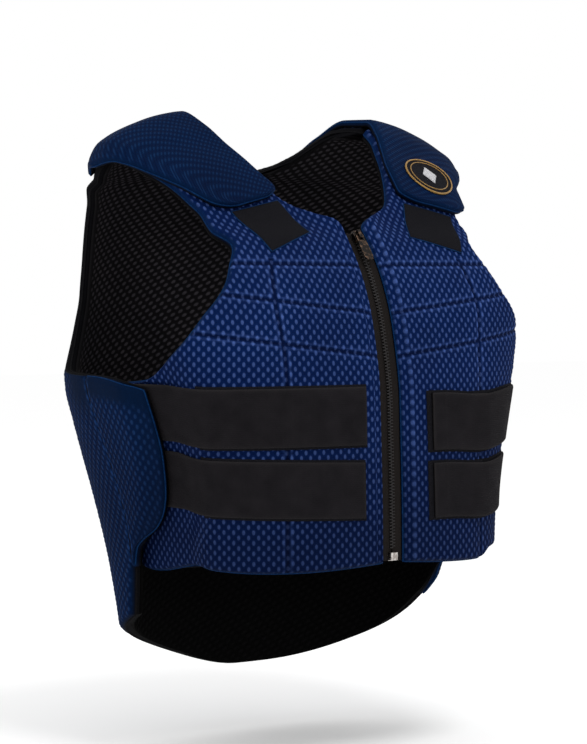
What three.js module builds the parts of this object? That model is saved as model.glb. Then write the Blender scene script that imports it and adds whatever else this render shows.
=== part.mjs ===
// A padded riding vest, held up as if worn: back panel with side wings, two front panels,
// black mesh lining, shoulder flaps, waist straps and a front zip. Millimetres, +Z up, the front
// faces -Y and the wearer's right side is -X. The tables give heights above the tail of the back
// panel; at the end everything is moved so that the origin is the seat between the two shoulders.
import * as THREE from 'three';

// The four sizes of the trunk. Each table below holds its lengths as shares of one of them.
const HEIGHT = 500;
const HALF_WIDTH = 200;
const FRONT_DEPTH = 150;
const BACK_DEPTH = 125;

// Gives the rows of a table their real lengths: sizes names the size that each column is a share of.
function sized(rows, sizes) {
  return rows.map((row) => {
    const entries = Object.entries(row).map(([key, value]) => [key, value * (sizes[key] ?? 1)]);
    return Object.fromEntries(entries);
  });
}

// The outer form: level sections, wider at the waist straps and thin along the shoulders. mid is
// where the front half meets the back half; fp and bp are the powers of their curves.
const FORM = sized([
  { z: -0.04, half: 0.79, front: 1, back: 0.704, mid: 0, fp: 2.9, bp: 2.6 },
  { z: 0.08, half: 0.815, front: 1.007, back: 0.736, mid: 0, fp: 3.0, bp: 2.7 },
  { z: 0.2, half: 0.845, front: 1.013, back: 0.848, mid: 0, fp: 3.1, bp: 2.8 },
  { z: 0.32, half: 0.89, front: 1.007, back: 0.984, mid: 0, fp: 2.9, bp: 3.0 },
  { z: 0.43, half: 0.965, front: 0.993, back: 1.032, mid: 0, fp: 2.8, bp: 3.1 },
  { z: 0.51, half: 1.025, front: 0.98, back: 1.048, mid: 0, fp: 2.8, bp: 3.0 },
  { z: 0.58, half: 1.035, front: 0.953, back: 1.056, mid: 0.016, fp: 3.2, bp: 2.6 },
  { z: 0.65, half: 1.025, front: 0.92, back: 1.024, mid: 0.048, fp: 3.7, bp: 2.5 },
  { z: 0.72, half: 1, front: 0.84, back: 0.976, mid: 0.08, fp: 3.6, bp: 2.5 },
  { z: 0.784, half: 0.98, front: 0.72, back: 0.88, mid: 0.112, fp: 3.3, bp: 2.5 },
  { z: 0.84, half: 0.97, front: 0.587, back: 0.752, mid: 0.128, fp: 3.1, bp: 2.5 },
  { z: 0.89, half: 0.96, front: 0.427, back: 0.608, mid: 0.136, fp: 2.9, bp: 2.5 },
  { z: 0.924, half: 0.915, front: 0.307, back: 0.48, mid: 0.144, fp: 2.6, bp: 2.4 },
  { z: 0.956, half: 0.775, front: 0.213, back: 0.36, mid: 0.16, fp: 2.4, bp: 2.3 },
  { z: 0.98, half: 0.585, front: 0.133, back: 0.256, mid: 0.192, fp: 2.2, bp: 2.2 },
  { z: 0.998, half: 0.3, front: 0.067, back: 0.144, mid: 0.24, fp: 2.0, bp: 2.0 },
], { z: HEIGHT, half: HALF_WIDTH, front: FRONT_DEPTH, back: BACK_DEPTH, mid: BACK_DEPTH });

// The seat: midway between the undersides of the shoulders.
const SEAT = { x: 0, y: 0.192 * BACK_DEPTH, z: 0.944 * HEIGHT };

// Wall layers, measured inward from the form.
const SHELL = 9;
const GAP = 0.3;
const LINING = 2.7;
const LINING_GAP = 0.4;
const EDGE_DROP = 5;
const GROOVE = 2.6;
// How far the front panel sinks under the wing, and both panels under the shoulder flap.
const UNDER_WING = 18.2;
const UNDER_FLAP = 7;
const BACK_UNDER_FLAP = 6.4;
// Where the front starts and ends to sink: angles and heights at the wing, heights and x at the flap.
const WING_TURN = [56, 71];
const WING_TOP = [0.5 * HEIGHT, 0.576 * HEIGHT];
const FLAP_FOOT = [0.752 * HEIGHT, 0.806 * HEIGHT];
const FLAP_SIDE = [0.07 * HALF_WIDTH, 0.23 * HALF_WIDTH];
const BACK_FLAP_TURN = [26, 41];
// The panels are this much thinner below the flaps.
const THINNER = 2;

// The pivot line of the rows that run over the shoulders.
const FAN = { y: 0.144 * BACK_DEPTH, z: 0.8 * HEIGHT };

const RAD = Math.PI / 180;
// The search for the form along a line: its reach and the number of halvings, then the step for
// slopes and the rise of the field above the top.
const CAST_REACH = 2 * HALF_WIDTH;
const CAST_STEPS = 44;
const SLOPE_STEP = 0.001 * HEIGHT;
const OVER_TOP = 0.05;

function smoothStep(from, to, value) {
  const t = Math.min(1, Math.max(0, (value - from) / (to - from)));
  return t * t * (3 - 2 * t);
}

function mix(a, b, t) {
  return a + (b - a) * t;
}

// Slopes at the knots of one column of the form, weighted for the uneven steps.
function knotSlopes(key) {
  return FORM.map((row, i) => {
    if (i === 0) return (FORM[1][key] - row[key]) / (FORM[1].z - row.z);
    if (i === FORM.length - 1) return (row[key] - FORM[i - 1][key]) / (row.z - FORM[i - 1].z);
    const low = row.z - FORM[i - 1].z;
    const high = FORM[i + 1].z - row.z;
    const rise = low * low * FORM[i + 1][key] + (high * high - low * low) * row[key]
      - high * high * FORM[i - 1][key];
    return rise / (low * high * (low + high));
  });
}

const SLOPES = {};
for (const key of ['half', 'front', 'back', 'mid', 'fp', 'bp']) SLOPES[key] = knotSlopes(key);

// A column of the form at any height, by cubic steps between the rows.
function formAt(key, height) {
  const last = FORM.length - 1;
  const z = Math.min(FORM[last].z, Math.max(FORM[0].z, height));
  let i = 0;
  while (i < last - 1 && z >= FORM[i + 1].z) i += 1;
  const step = FORM[i + 1].z - FORM[i].z;
  const t = (z - FORM[i].z) / step;
  const a = FORM[i][key];
  const b = FORM[i + 1][key];
  const ma = SLOPES[key][i] * step;
  const mb = SLOPES[key][i + 1] * step;
  return (2 * t ** 3 - 3 * t ** 2 + 1) * a + (t ** 3 - 2 * t ** 2 + t) * ma
    + (-2 * t ** 3 + 3 * t ** 2) * b + (t ** 3 - t ** 2) * mb;
}

// Below zero inside the form and above zero outside.
function field(x, y, z) {
  const mid = formAt('mid', z);
  const depth = y < mid ? formAt('front', z) : formAt('back', z);
  const power = y < mid ? formAt('fp', z) : formAt('bp', z);
  const sum = (Math.abs(x) / formAt('half', z)) ** power + (Math.abs(y - mid) / depth) ** power;
  const over = Math.max(0, z - FORM[FORM.length - 1].z);
  return sum ** (1 / power) - 1 + over * OVER_TOP;
}

function castToForm(start, way) {
  const size = Math.hypot(way[0], way[1], way[2]);
  let low = 0;
  let high = CAST_REACH;
  for (let i = 0; i < CAST_STEPS; i += 1) {
    const half = (low + high) / 2 / size;
    const [x, y, z] = start.map((value, k) => value + way[k] * half);
    const inside = field(x, y, z) < 0;
    if (inside) low = (low + high) / 2;
    else high = (low + high) / 2;
  }
  return start.map((value, k) => value + way[k] * low / size);
}

function formNormal(p) {
  const h = SLOPE_STEP;
  const gx = field(p[0] + h, p[1], p[2]) - field(p[0] - h, p[1], p[2]);
  const gy = field(p[0], p[1] + h, p[2]) - field(p[0], p[1] - h, p[2]);
  const gz = field(p[0], p[1], p[2] + h) - field(p[0], p[1], p[2] - h);
  const size = Math.hypot(gx, gy, gz);
  return [gx / size, gy / size, gz / size];
}

// A place on the form by height and angle: 0 degrees is the front middle, positive toward +X.
function atAngle(z, degrees) {
  const start = [0, formAt('mid', z), z];
  return castToForm(start, [Math.sin(degrees * RAD), -Math.cos(degrees * RAD), 0]);
}

// A place on the form by x and the fan angle: 0 is level forward, 90 up and 180 level backward.
function atFan(x, degrees) {
  return castToForm([x, FAN.y, FAN.z], [0, -Math.cos(degrees * RAD), Math.sin(degrees * RAD)]);
}

// The front of the form over a place (x, z), for patches drawn in the front view.
function atFront(x, z) {
  const power = formAt('fp', z);
  const room = Math.max(0, 1 - (Math.abs(x) / formAt('half', z)) ** power) ** (1 / power);
  return [x, formAt('mid', z) - formAt('front', z) * room, z];
}

function angleOfX(x, z) {
  const p = atFront(x, z);
  return Math.atan2(p[0], formAt('mid', z) - p[1]) / RAD;
}

// Lattice places are kept as { z, angle } or { x, turn } and resolved when a sheet is made.
function resolved(place) {
  return 'angle' in place ? atAngle(place.z, place.angle) : atFan(place.x, place.turn);
}

function mixPlace(a, b, t) {
  if ('angle' in a) return { z: mix(a.z, b.z, t), angle: mix(a.angle, b.angle, t) };
  return { x: mix(a.x, b.x, t), turn: mix(a.turn, b.turn, t) };
}

function lifted(p, offset) {
  const n = formNormal(p);
  return [p[0] + n[0] * offset, p[1] + n[1] * offset, p[2] + n[2] * offset];
}

// How far the outside of the front panels lies under the form: below the wing and below the flap.
function frontSink(p) {
  const angle = Math.abs(Math.atan2(p[0], formAt('mid', p[2]) - p[1])) / RAD;
  const wing = UNDER_WING * smoothStep(...WING_TURN, angle) * (1 - smoothStep(...WING_TOP, p[2]));
  const flap = UNDER_FLAP * smoothStep(...FLAP_FOOT, p[2]) * smoothStep(...FLAP_SIDE, Math.abs(p[0]));
  return wing + flap;
}

function thinnerBy(p) {
  return THINNER * smoothStep(...FLAP_FOOT, p[2]);
}

function backSink(p) {
  const rise = Math.atan2(p[2] - FAN.z, p[1] - FAN.y) / RAD;
  return BACK_UNDER_FLAP * smoothStep(...BACK_FLAP_TURN, rise);
}

// A corner of a sheet: a place with its two offsets, or a point t of the way between two places,
// which lies on the flat facet between them.
function cornerAt(place, side) {
  if (!place.from) return lifted(place.p, place[side]);
  const a = cornerAt(place.from, side);
  const b = cornerAt(place.to, side);
  return a.map((value, k) => mix(value, b[k], place.t));
}

// A closed sheet with thickness. rows[r][c] is a corner with the offsets out and into; a column
// that repeats the corner before it is folded away. present(r, c) tells whether a cell is there.
function sheetSolid(rows, present = () => true) {
  const rowCount = rows.length;
  const colCount = rows[0].length;
  const points = [];
  const outer = [];
  for (let r = 0; r < rowCount; r += 1) {
    for (let c = 0; c < colCount; c += 1) {
      if (c > 0 && rows[r][c] === rows[r][c - 1]) {
        outer.push(outer.at(-1));
        continue;
      }
      outer.push(points.length);
      points.push(cornerAt(rows[r][c], 'out'), cornerAt(rows[r][c], 'into'));
    }
  }
  const on = (r, c) => r >= 0 && c >= 0 && r < rowCount - 1 && c < colCount - 1 && present(r, c);
  const faces = [];
  const quad = (a, b, c, d) => {
    if (a !== b && b !== c && a !== c) faces.push([a, b, c]);
    if (a !== c && c !== d && a !== d) faces.push([a, c, d]);
  };
  for (let r = 0; r < rowCount - 1; r += 1) {
    for (let c = 0; c < colCount - 1; c += 1) {
      if (!on(r, c)) continue;
      const low = r * colCount + c;
      const high = low + colCount;
      const corners = [outer[low], outer[low + 1], outer[high + 1], outer[high]];
      const beside = [on(r - 1, c), on(r, c + 1), on(r + 1, c), on(r, c - 1)];
      const [a0, b0, c0, d0] = corners;
      quad(a0, b0, c0, d0);
      quad(a0 + 1, d0 + 1, c0 + 1, b0 + 1);
      for (let k = 0; k < 4; k += 1) {
        const a = corners[k];
        const b = corners[(k + 1) % 4];
        if (!beside[k] && a !== b) quad(b, a, a + 1, b + 1);
      }
    }
  }
  return solidFrom(points, faces);
}

// Faces are turned round where the body comes out inside out.
function solidFrom(points, faces) {
  let volume = 0;
  for (const [a, b, c] of faces) {
    const [ax, ay, az] = points[a];
    const [bx, by, bz] = points[b];
    const [cx, cy, cz] = points[c];
    volume += ax * (by * cz - bz * cy) + ay * (bz * cx - bx * cz) + az * (bx * cy - by * cx);
  }
  const list = [];
  for (const face of faces) {
    const turned = volume < 0 ? [face[0], face[2], face[1]] : face;
    for (const i of turned) {
      list.push(points[i][0] - SEAT.x, points[i][1] - SEAT.y, points[i][2] - SEAT.z);
    }
  }
  const geometry = new THREE.BufferGeometry();
  geometry.setAttribute('position', new THREE.Float32BufferAttribute(list, 3));
  return geometry;
}

// The finishes seen on the piece: colour, roughness and metalness.
const FINISH = {
  mesh_blue: [0x14317c, 0.72, 0],
  mesh_black: [0x161618, 0.8, 0],
  flap_blue: [0x0f3a78, 0.7, 0],
  loop_black: [0x1c1c1c, 0.95, 0],
  elastic_black: [0x19191b, 0.85, 0],
  zip_tape: [0x0d0d0f, 0.8, 0],
  zip_teeth: [0x131315, 0.45, 0],
  dark_metal: [0x3a3b40, 0.35, 0.9],
  bright_metal: [0xc4c6c9, 0.28, 1],
  badge_cloth: [0x121214, 0.8, 0],
};

const vest = new THREE.Group();

function addPiece(name, finish, geometry) {
  const [color, roughness, metalness] = FINISH[finish];
  const mesh = new THREE.Mesh(geometry, new THREE.MeshStandardMaterial({ color, roughness, metalness }));
  mesh.name = name;
  vest.add(mesh);
}

// Front panels: the rows of the torso, from the hem up to the top of the zip. The outer end of a
// row is under the wing (98 degrees) or on the armhole. groove marks a quilting seam.
const FRONT_ROWS = sized([
  { inner_z: 0.206, outer_z: 0.228, outer_angle: 98 },
  { inner_z: 0.224, outer_z: 0.242, outer_angle: 98 },
  { inner_z: 0.28, outer_z: 0.288, outer_angle: 98 },
  { inner_z: 0.334, outer_z: 0.338, outer_angle: 98 },
  { inner_z: 0.388, outer_z: 0.392, outer_angle: 98 },
  { inner_z: 0.456, outer_z: 0.456, outer_angle: 98 },
  { inner_z: 0.502, outer_z: 0.498, outer_angle: 93 },
  { inner_z: 0.514, outer_z: 0.514, outer_angle: 77 },
  { inner_z: 0.532, outer_z: 0.544, outer_angle: 69 },
  { inner_z: 0.55, outer_z: 0.578, outer_angle: 62.5 },
  { inner_z: 0.56, outer_z: 0.59, outer_angle: 61, groove: 1 },
  { inner_z: 0.57, outer_z: 0.602, outer_angle: 59.5 },
  { inner_z: 0.598, outer_z: 0.626, outer_angle: 56.8 },
  { inner_z: 0.624, outer_z: 0.65, outer_angle: 54.3 },
  { inner_z: 0.634, outer_z: 0.662, outer_angle: 53, groove: 1 },
  { inner_z: 0.644, outer_z: 0.672, outer_angle: 52.2 },
  { inner_z: 0.706, outer_z: 0.708, outer_angle: 50.8 },
  { inner_z: 0.716, outer_z: 0.718, outer_angle: 50.6, groove: 1 },
  { inner_z: 0.726, outer_z: 0.728, outer_angle: 50.4 },
  { inner_z: 0.758, outer_z: 0.754, outer_angle: 50.6 },
  { inner_z: 0.784, outer_z: 0.782, outer_angle: 56 },
], { inner_z: HEIGHT, outer_z: HEIGHT });
// The tab over the shoulder: x and fan angle of the neck edge and of the armhole edge.
const TAB_ROWS = sized([
  { neck_x: 0.155, neck_fan: 3, arm_x: 0.715, arm_fan: 3 },
  { neck_x: 0.285, neck_fan: 11, arm_x: 0.745, arm_fan: 12 },
  { neck_x: 0.345, neck_fan: 23, arm_x: 0.785, arm_fan: 25 },
  { neck_x: 0.395, neck_fan: 38, arm_x: 0.84, arm_fan: 41 },
  { neck_x: 0.44, neck_fan: 55, arm_x: 0.895, arm_fan: 58 },
  { neck_x: 0.48, neck_fan: 74, arm_x: 0.93, arm_fan: 75 },
  { neck_x: 0.5, neck_fan: 83, arm_x: 0.94, arm_fan: 83 },
  { neck_x: 0.51, neck_fan: 89.5, arm_x: 0.9425, arm_fan: 89.5 },
], { neck_x: HALF_WIDTH, arm_x: HALF_WIDTH });
const ZIP_HALF = 11.5;
const BORDER_HALF = 21;
const HEM_SAG = 9;
const HEM_SHARE = [1, 0.8, 0.3];
const SEAM_ANGLE = 38.6;
const SEAM_TOP = 0.732 * HEIGHT;
const BORDER_DROP = EDGE_DROP - 0.6;
// The least wall left at a rim, and the least turn in degrees between two columns.
const RIM_WALL = 4;
const MIN_TURN = 3;
// The columns of every piece on the front, in degrees; the last four match the wing's columns.
const FRONT_GRID = [11.5, 20, 30, 36.2, SEAM_ANGLE, 41, 47.5, 54, 60, 67, 76, 87, 98];

// One row of a front panel, from the zip edge out to the side. Columns past the edge of the row
// repeat the edge.
function frontRow(row, sign, share) {
  const first = angleOfX(ZIP_HALF, row.inner_z);
  const place = (angle) => {
    const t = (angle - first) / (row.outer_angle - first);
    const sag = share * HEM_SAG * Math.sin(Math.PI * t);
    return { z: mix(row.inner_z, row.outer_z, t) - sag, angle: sign * angle };
  };
  const edge = place(row.outer_angle);
  const inner = [first, angleOfX(BORDER_HALF, row.inner_z)];
  return [...inner, ...FRONT_GRID].map((angle) => (angle > row.outer_angle - MIN_TURN ? edge : place(angle)));
}

function frontLattice(sign) {
  const rows = FRONT_ROWS.map((row, r) => frontRow(row, sign, HEM_SHARE[r] ?? 0));
  const last = rows.at(-1);
  const wide = last.at(-1).angle - last[0].angle;
  for (const row of TAB_ROWS) {
    const edge = { x: sign * row.arm_x, turn: row.arm_fan };
    rows.push(last.map((place) => {
      const t = (place.angle - last[0].angle) / wide;
      if (place === last.at(-1)) return edge;
      return { x: sign * mix(row.neck_x, row.arm_x, t), turn: mix(row.neck_fan, row.arm_fan, t) };
    }));
  }
  return rows;
}

// Gives every corner of a lattice its offsets; a repeated corner stays the same object.
function dressed(rows, offsets) {
  return rows.map((row, r) => {
    const list = [];
    row.forEach((place, c) => {
      const again = c > 0 && place === row[c - 1];
      list.push(again ? list.at(-1) : offsets(place, resolved(place), r, c));
    });
    return list;
  });
}

function frontPanel(sign) {
  const rows = frontLattice(sign);
  return dressed(rows, (place, p, r, c) => {
    const torso = FRONT_ROWS[r];
    const rim = r === 0 || r === rows.length - 1 || c === 0 || place === rows[r].at(-1);
    const border = c === 1 && r < FRONT_ROWS.length + 1;
    const vertical = FRONT_GRID[c - 2] === SEAM_ANGLE && p[2] < SEAM_TOP;
    const across = torso?.groove && c > 1;
    const drop = rim ? EDGE_DROP : border ? BORDER_DROP : vertical || across ? GROOVE : 0;
    const sink = frontSink(p);
    const wall = SHELL - thinnerBy(p);
    return { p, out: -sink - Math.min(drop, wall - RIM_WALL), into: -sink - wall };
  });
}

// The lining of a front panel has the panel's own corners, so the two lie parallel.
function frontLining(sign) {
  return dressed(frontLattice(sign), (place, p) => {
    const depth = frontSink(p) + SHELL - thinnerBy(p) + LINING_GAP;
    return { p, out: -depth, into: -depth - LINING };
  });
}

// Back panel rows: height at the middle, then for each side the height and the angle of the wing's
// edge, from the middle of the back. The wings reach over the sides to the front and the tail
// hangs at the bottom; the left wing is cut off higher at the foot.
const BACK_ROWS = sized([
  { mid_z: -0.02, right_z: 0.106, right_angle: 84, left_z: 0.164, left_angle: 99 },
  { mid_z: -0.002, right_z: 0.12, right_angle: 85.5, left_z: 0.178, left_angle: 99.5 },
  { mid_z: 0.064, right_z: 0.158, right_angle: 88, left_z: 0.202, left_angle: 100.5 },
  { mid_z: 0.148, right_z: 0.204, right_angle: 91, left_z: 0.226, left_angle: 101.5 },
  { mid_z: 0.216, right_z: 0.246, right_angle: 95, left_z: 0.256, left_angle: 102.5 },
  { mid_z: 0.264, right_z: 0.28, right_angle: 103, left_z: 0.282, left_angle: 104.5 },
  { mid_z: 0.316, right_z: 0.318, right_angle: 107, left_z: 0.318, left_angle: 107 },
  { mid_z: 0.388, right_z: 0.388, right_angle: 107.8, left_z: 0.388, left_angle: 107.8 },
  { mid_z: 0.456, right_z: 0.456, right_angle: 106.6, left_z: 0.456, left_angle: 106.6 },
  { mid_z: 0.496, right_z: 0.496, right_angle: 105, left_z: 0.496, left_angle: 105 },
  { mid_z: 0.512, right_z: 0.512, right_angle: 100, left_z: 0.512, left_angle: 100 },
  { mid_z: 0.524, right_z: 0.5225, right_angle: 90.5, left_z: 0.5225, left_angle: 90.5 },
  { mid_z: 0.538, right_z: 0.527, right_angle: 78, left_z: 0.527, left_angle: 78 },
  { mid_z: 0.562, right_z: 0.541, right_angle: 70, left_z: 0.541, left_angle: 70 },
  { mid_z: 0.6, right_z: 0.6, right_angle: 64, left_z: 0.6, left_angle: 64 },
  { mid_z: 0.664, right_z: 0.664, right_angle: 61.8, left_z: 0.664, left_angle: 61.8 },
  { mid_z: 0.732, right_z: 0.732, right_angle: 63.4, left_z: 0.732, left_angle: 63.4 },
  { mid_z: 0.78, right_z: 0.78, right_angle: 66.5, left_z: 0.78, left_angle: 66.5 },
], { mid_z: HEIGHT, right_z: HEIGHT, left_z: HEIGHT });
// Rows over the shoulders: fan angle from the back, neck edge (once past the neck) and armhole.
const YOKE_ROWS = sized([
  { rise: 10, neck_x: 0, arm_x: 0.845 },
  { rise: 24, neck_x: 0, arm_x: 0.88 },
  { rise: 36, neck_x: 0.095, arm_x: 0.905 },
  { rise: 42, neck_x: 0.185, arm_x: 0.915 },
  { rise: 50, neck_x: 0.265, arm_x: 0.9275 },
  { rise: 61, neck_x: 0.345, arm_x: 0.9375 },
  { rise: 74, neck_x: 0.425, arm_x: 0.9425 },
  { rise: 83, neck_x: 0.485, arm_x: 0.9425 },
  { rise: 89.5, neck_x: 0.51, arm_x: 0.9425 },
], { neck_x: HALF_WIDTH, arm_x: HALF_WIDTH });
const NECK_ROW = 2;
const BACK_GRID = [0, 7.5, 19, 31, 42, 52, 61, 71, 82, 93, 104];
const TAIL_CURVE = { right: 1.8, left: 3.6 };
// Below the flap the back is this much thinner, and its rim falls this much less.
const BACK_THINNER = 1;
const EDGE_EASE = 3;
const BACK_MIDDLE = BACK_GRID.length;
const BACK_NECK = BACK_ROWS.length + NECK_ROW;

// One half row from the middle outward; columns past the edge repeat the edge.
function backHalf(row, sign) {
  const side = sign < 0 ? 'right' : 'left';
  const far = row[`${side}_angle`];
  const high = row[`${side}_z`];
  const edge = { z: high, angle: sign * (180 - far) };
  const list = BACK_GRID.map((angle) => {
    if (angle > far - MIN_TURN) return edge;
    const z = mix(row.mid_z, high, (angle / far) ** TAIL_CURVE[side]);
    return { z, angle: sign * (180 - angle) };
  });
  return [...list, edge];
}

function yokeHalf(row, shares, sign) {
  const edge = { x: sign * row.arm_x, turn: 180 - row.rise };
  return shares.map((share) => {
    if (share === 1) return edge;
    const neck = row.neck_x > 0 && share >= shares[1];
    const part = (share - shares[1]) / (1 - shares[1]);
    const x = neck ? mix(row.neck_x, row.arm_x, part) : share * row.arm_x;
    return { x: sign * x, turn: 180 - row.rise };
  });
}

function backLattice() {
  const last = BACK_ROWS.at(-1);
  const shares = [...BACK_GRID, last.left_angle].map((angle) => {
    const past = angle > last.left_angle - MIN_TURN;
    return past ? 1 : Math.sin(angle * RAD) / Math.sin(last.left_angle * RAD);
  });
  const rows = [];
  for (const row of BACK_ROWS) rows.push([backHalf(row, -1), backHalf(row, 1)]);
  for (const row of YOKE_ROWS) rows.push([yokeHalf(row, shares, -1), yokeHalf(row, shares, 1)]);
  return rows.map(([right, left]) => [...right.slice(1).reverse(), ...left]);
}

// The lining of the back and the panel itself share one layout of offsets.
function backCorners(offsets) {
  const rows = backLattice();
  return dressed(rows, (place, p, r, c) => {
    const off = Math.abs(c - BACK_MIDDLE);
    const neck = (r === BACK_NECK && off <= 1) || (r > BACK_NECK && off === 1);
    const side = place === rows[r][0] || place === rows[r].at(-1);
    const rim = neck || side || r === 0 || r === rows.length - 1;
    const sink = backSink(p);
    return { p, ...offsets(sink, sink / BACK_UNDER_FLAP, rim) };
  });
}

function backCell(r, c) {
  return r < BACK_NECK || Math.abs(c + 0.5 - BACK_MIDDLE) > 1;
}

function backPanel() {
  const corners = backCorners((sink, share, rim) => ({
    out: -sink - (rim ? EDGE_DROP - EDGE_EASE * share : 0),
    into: -sink - SHELL + share * BACK_THINNER,
  }));
  return sheetSolid(corners, backCell);
}

function backLining() {
  const corners = backCorners((sink, share) => {
    const depth = sink + SHELL - share * BACK_THINNER + LINING_GAP;
    return { out: -depth, into: -depth - LINING };
  });
  return sheetSolid(corners, backCell);
}

// Shoulder flaps: sewn to the back behind the shoulder, over the ridge and down onto the front
// tab. turn is the fan angle from the front; the two sides end a little differently.
const FLAP_TOP = 2;
const FLAP_SIZES = { neck_x: HALF_WIDTH, arm_x: HALF_WIDTH, top: FLAP_TOP };
const FLAP_ROWS = sized([
  { neck_turn: 137, arm_turn: 137, neck_x: 0.215, arm_x: 0.92, top: -0.3 },
  { neck_turn: 131, arm_turn: 131, neck_x: 0.265, arm_x: 0.93, top: 0.2 },
  { neck_turn: 120, arm_turn: 120, neck_x: 0.34, arm_x: 0.9425, top: 0.65 },
  { neck_turn: 104, arm_turn: 104, neck_x: 0.44, arm_x: 0.9475, top: 1 },
  { neck_turn: 90, arm_turn: 88, neck_x: 0.51, arm_x: 0.945, top: 1 },
  { neck_turn: 74, arm_turn: 70, neck_x: 0.4775, arm_x: 0.91, top: 1 },
  { neck_turn: 56, arm_turn: 52, neck_x: 0.435, arm_x: 0.86, top: 1 },
  { neck_turn: 40, arm_turn: 36, neck_x: 0.395, arm_x: 0.8, top: 1 },
], FLAP_SIZES);
// The front ends of the flaps, which differ a little between the two sides.
const FLAP_ENDS = {
  right: sized([
    { neck_turn: 26, arm_turn: 20, neck_x: 0.36, arm_x: 0.715, top: 1 },
    { neck_turn: 16.5, arm_turn: 7, neck_x: 0.33, arm_x: 0.65, top: 1 },
    { neck_turn: 12, arm_turn: 4, neck_x: 0.35, arm_x: 0.61, top: 1 },
  ], FLAP_SIZES),
  left: sized([
    { neck_turn: 26, arm_turn: 20, neck_x: 0.375, arm_x: 0.77, top: 1 },
    { neck_turn: 16.5, arm_turn: 7, neck_x: 0.365, arm_x: 0.755, top: 1 },
    { neck_turn: 11, arm_turn: 3.5, neck_x: 0.4, arm_x: 0.715, top: 1 },
  ], FLAP_SIZES),
};
const FLAP_SHARES = [0, 0.08, 0.32, 0.56, 0.76, 0.92, 1];
const FLAP_UNDER = -4.8;
// How thick the rim is behind, where the flap is sewn down, and all round the rest.
const FLAP_RIM = { behind: 2.4, round: 3.4 };

function flap(sign, ends) {
  const table = [...FLAP_ROWS, ...ends];
  return table.map((row, r) => FLAP_SHARES.map((t, c) => {
    const p = atFan(sign * mix(row.neck_x, row.arm_x, t), mix(row.neck_turn, row.arm_turn, t));
    const rim = r === 0 || r === table.length - 1 || c === 0 || c === FLAP_SHARES.length - 1;
    const edge = FLAP_UNDER + (r === 0 ? FLAP_RIM.behind : FLAP_RIM.round);
    return { p, out: rim ? edge : row.top, into: FLAP_UNDER };
  }));
}

// Small sheets drawn in the front view between four corners (x, z), laid on the front panels.
function laidPatch(corners, sign, steps, low, high) {
  const [a, b, c, d] = corners.map(([x, z]) => [sign * x * HALF_WIDTH, z * HEIGHT]);
  const rows = [];
  for (let r = 0; r <= steps; r += 1) {
    const row = [];
    for (let k = 0; k <= steps; k += 1) {
      const t = k / steps;
      const [x, z] = [0, 1].map((i) => mix(mix(a[i], b[i], t), mix(d[i], c[i], t), r / steps));
      const p = atFront(x, z);
      const sink = frontSink(p);
      row.push({ p, out: -sink + high, into: -sink + low });
    }
    rows.push(row);
  }
  return rows;
}

// The chest patches that the flaps grip: (x, z) of the inner low, outer low, outer high and inner
// high corner, as shares of the half width and the height.
const CHEST_PATCH = {
  right: [[0.26, 0.772], [0.505, 0.736], [0.59, 0.812], [0.33, 0.834]],
  left: [[0.28, 0.764], [0.55, 0.736], [0.65, 0.81], [0.375, 0.834]],
  steps: 5,
  under: 1.2,
  top: 2.4,
};

// Waist bands: x of the inner ends of patch and strap, and the height of the band's middle at the
// inner and the outer end, as shares.
const BAND_SIZES = { patch_x: HALF_WIDTH, strap_x: HALF_WIDTH, inner_z: HEIGHT, outer_z: HEIGHT };
const WAIST = sized([
  { patch_x: 0.153, strap_x: 0.1625, inner_z: 0.459, outer_z: 0.459 },
  { patch_x: 0.165, strap_x: 0.1775, inner_z: 0.333, outer_z: 0.345 },
  { patch_x: 0.18, strap_x: 0.205, inner_z: 0.445, outer_z: 0.454 },
  { patch_x: 0.18, strap_x: 0.205, inner_z: 0.326, outer_z: 0.335 },
], BAND_SIZES);
const BANDS = {
  right: { upper: WAIST[0], lower: WAIST[1] },
  left: { upper: WAIST[2], lower: WAIST[3] },
};
const STRAP_WIDTH = { upper: 49.5, lower: 47.5 };
const STRAP_LAYER = { under: 2.4, top: 4.1 };
const PATCH_LAYER = { under: 0.7, top: 1.8 };
const PATCH_MARGIN = 2;
const PATCH_END = 60;
const STRAP_END = 82;
// The angle at which a band has its outer height, and how close its end may come to a column.
const BAND_TURN = 74;
const END_TURN = 1.5;
const BAND_SHARES = [0, 0.33, 0.67, 1];

// A corner on the facets of the front panel: level with z, at any angle.
function onFacet(z, angle, sign, low, high) {
  const dress = (degrees) => {
    const p = atAngle(z, sign * degrees);
    const sink = frontSink(p);
    return { p, out: -sink + high, into: -sink + low };
  };
  const columns = [angleOfX(BORDER_HALF, z), ...FRONT_GRID];
  const next = columns.findIndex((column) => column >= angle);
  if (columns[next] === angle) return dress(angle);
  const [before, after] = [columns[next - 1], columns[next]];
  return { from: dress(before), to: dress(after), t: (angle - before) / (after - before) };
}

function waistBand(band, sign, from, to, width, layer) {
  const start = angleOfX(from, band.inner_z);
  const between = FRONT_GRID.filter((angle) => angle > start + END_TURN && angle < to - END_TURN);
  return BAND_SHARES.map((s) => [start, ...between, to].map((angle) => {
    const middle = mix(band.inner_z, band.outer_z, Math.min(1, angle / BAND_TURN));
    return onFacet(middle + (s - 0.5) * width, angle, sign, layer.under, layer.top);
  }));
}

// The zip: level strips up the front middle, deeper than the panels' outside.
const ZIP = { low: 0.208 * HEIGHT, high: 0.782 * HEIGHT, steps: 15 };
const TAPE = { inner: 3.2, out: -6.6, into: -8 };
const TEETH = { half: 2.9, out: -4.6, into: -8.4, above: 9, below: 2 };

function zipStrip(from, to, low, high, out, into) {
  const rows = [];
  for (let r = 0; r <= ZIP.steps; r += 1) {
    const z = mix(low, high, r / ZIP.steps);
    rows.push([from, to].map((x) => {
      const p = atFront(x, z);
      return { p, out, into };
    }));
  }
  return rows;
}

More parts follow.
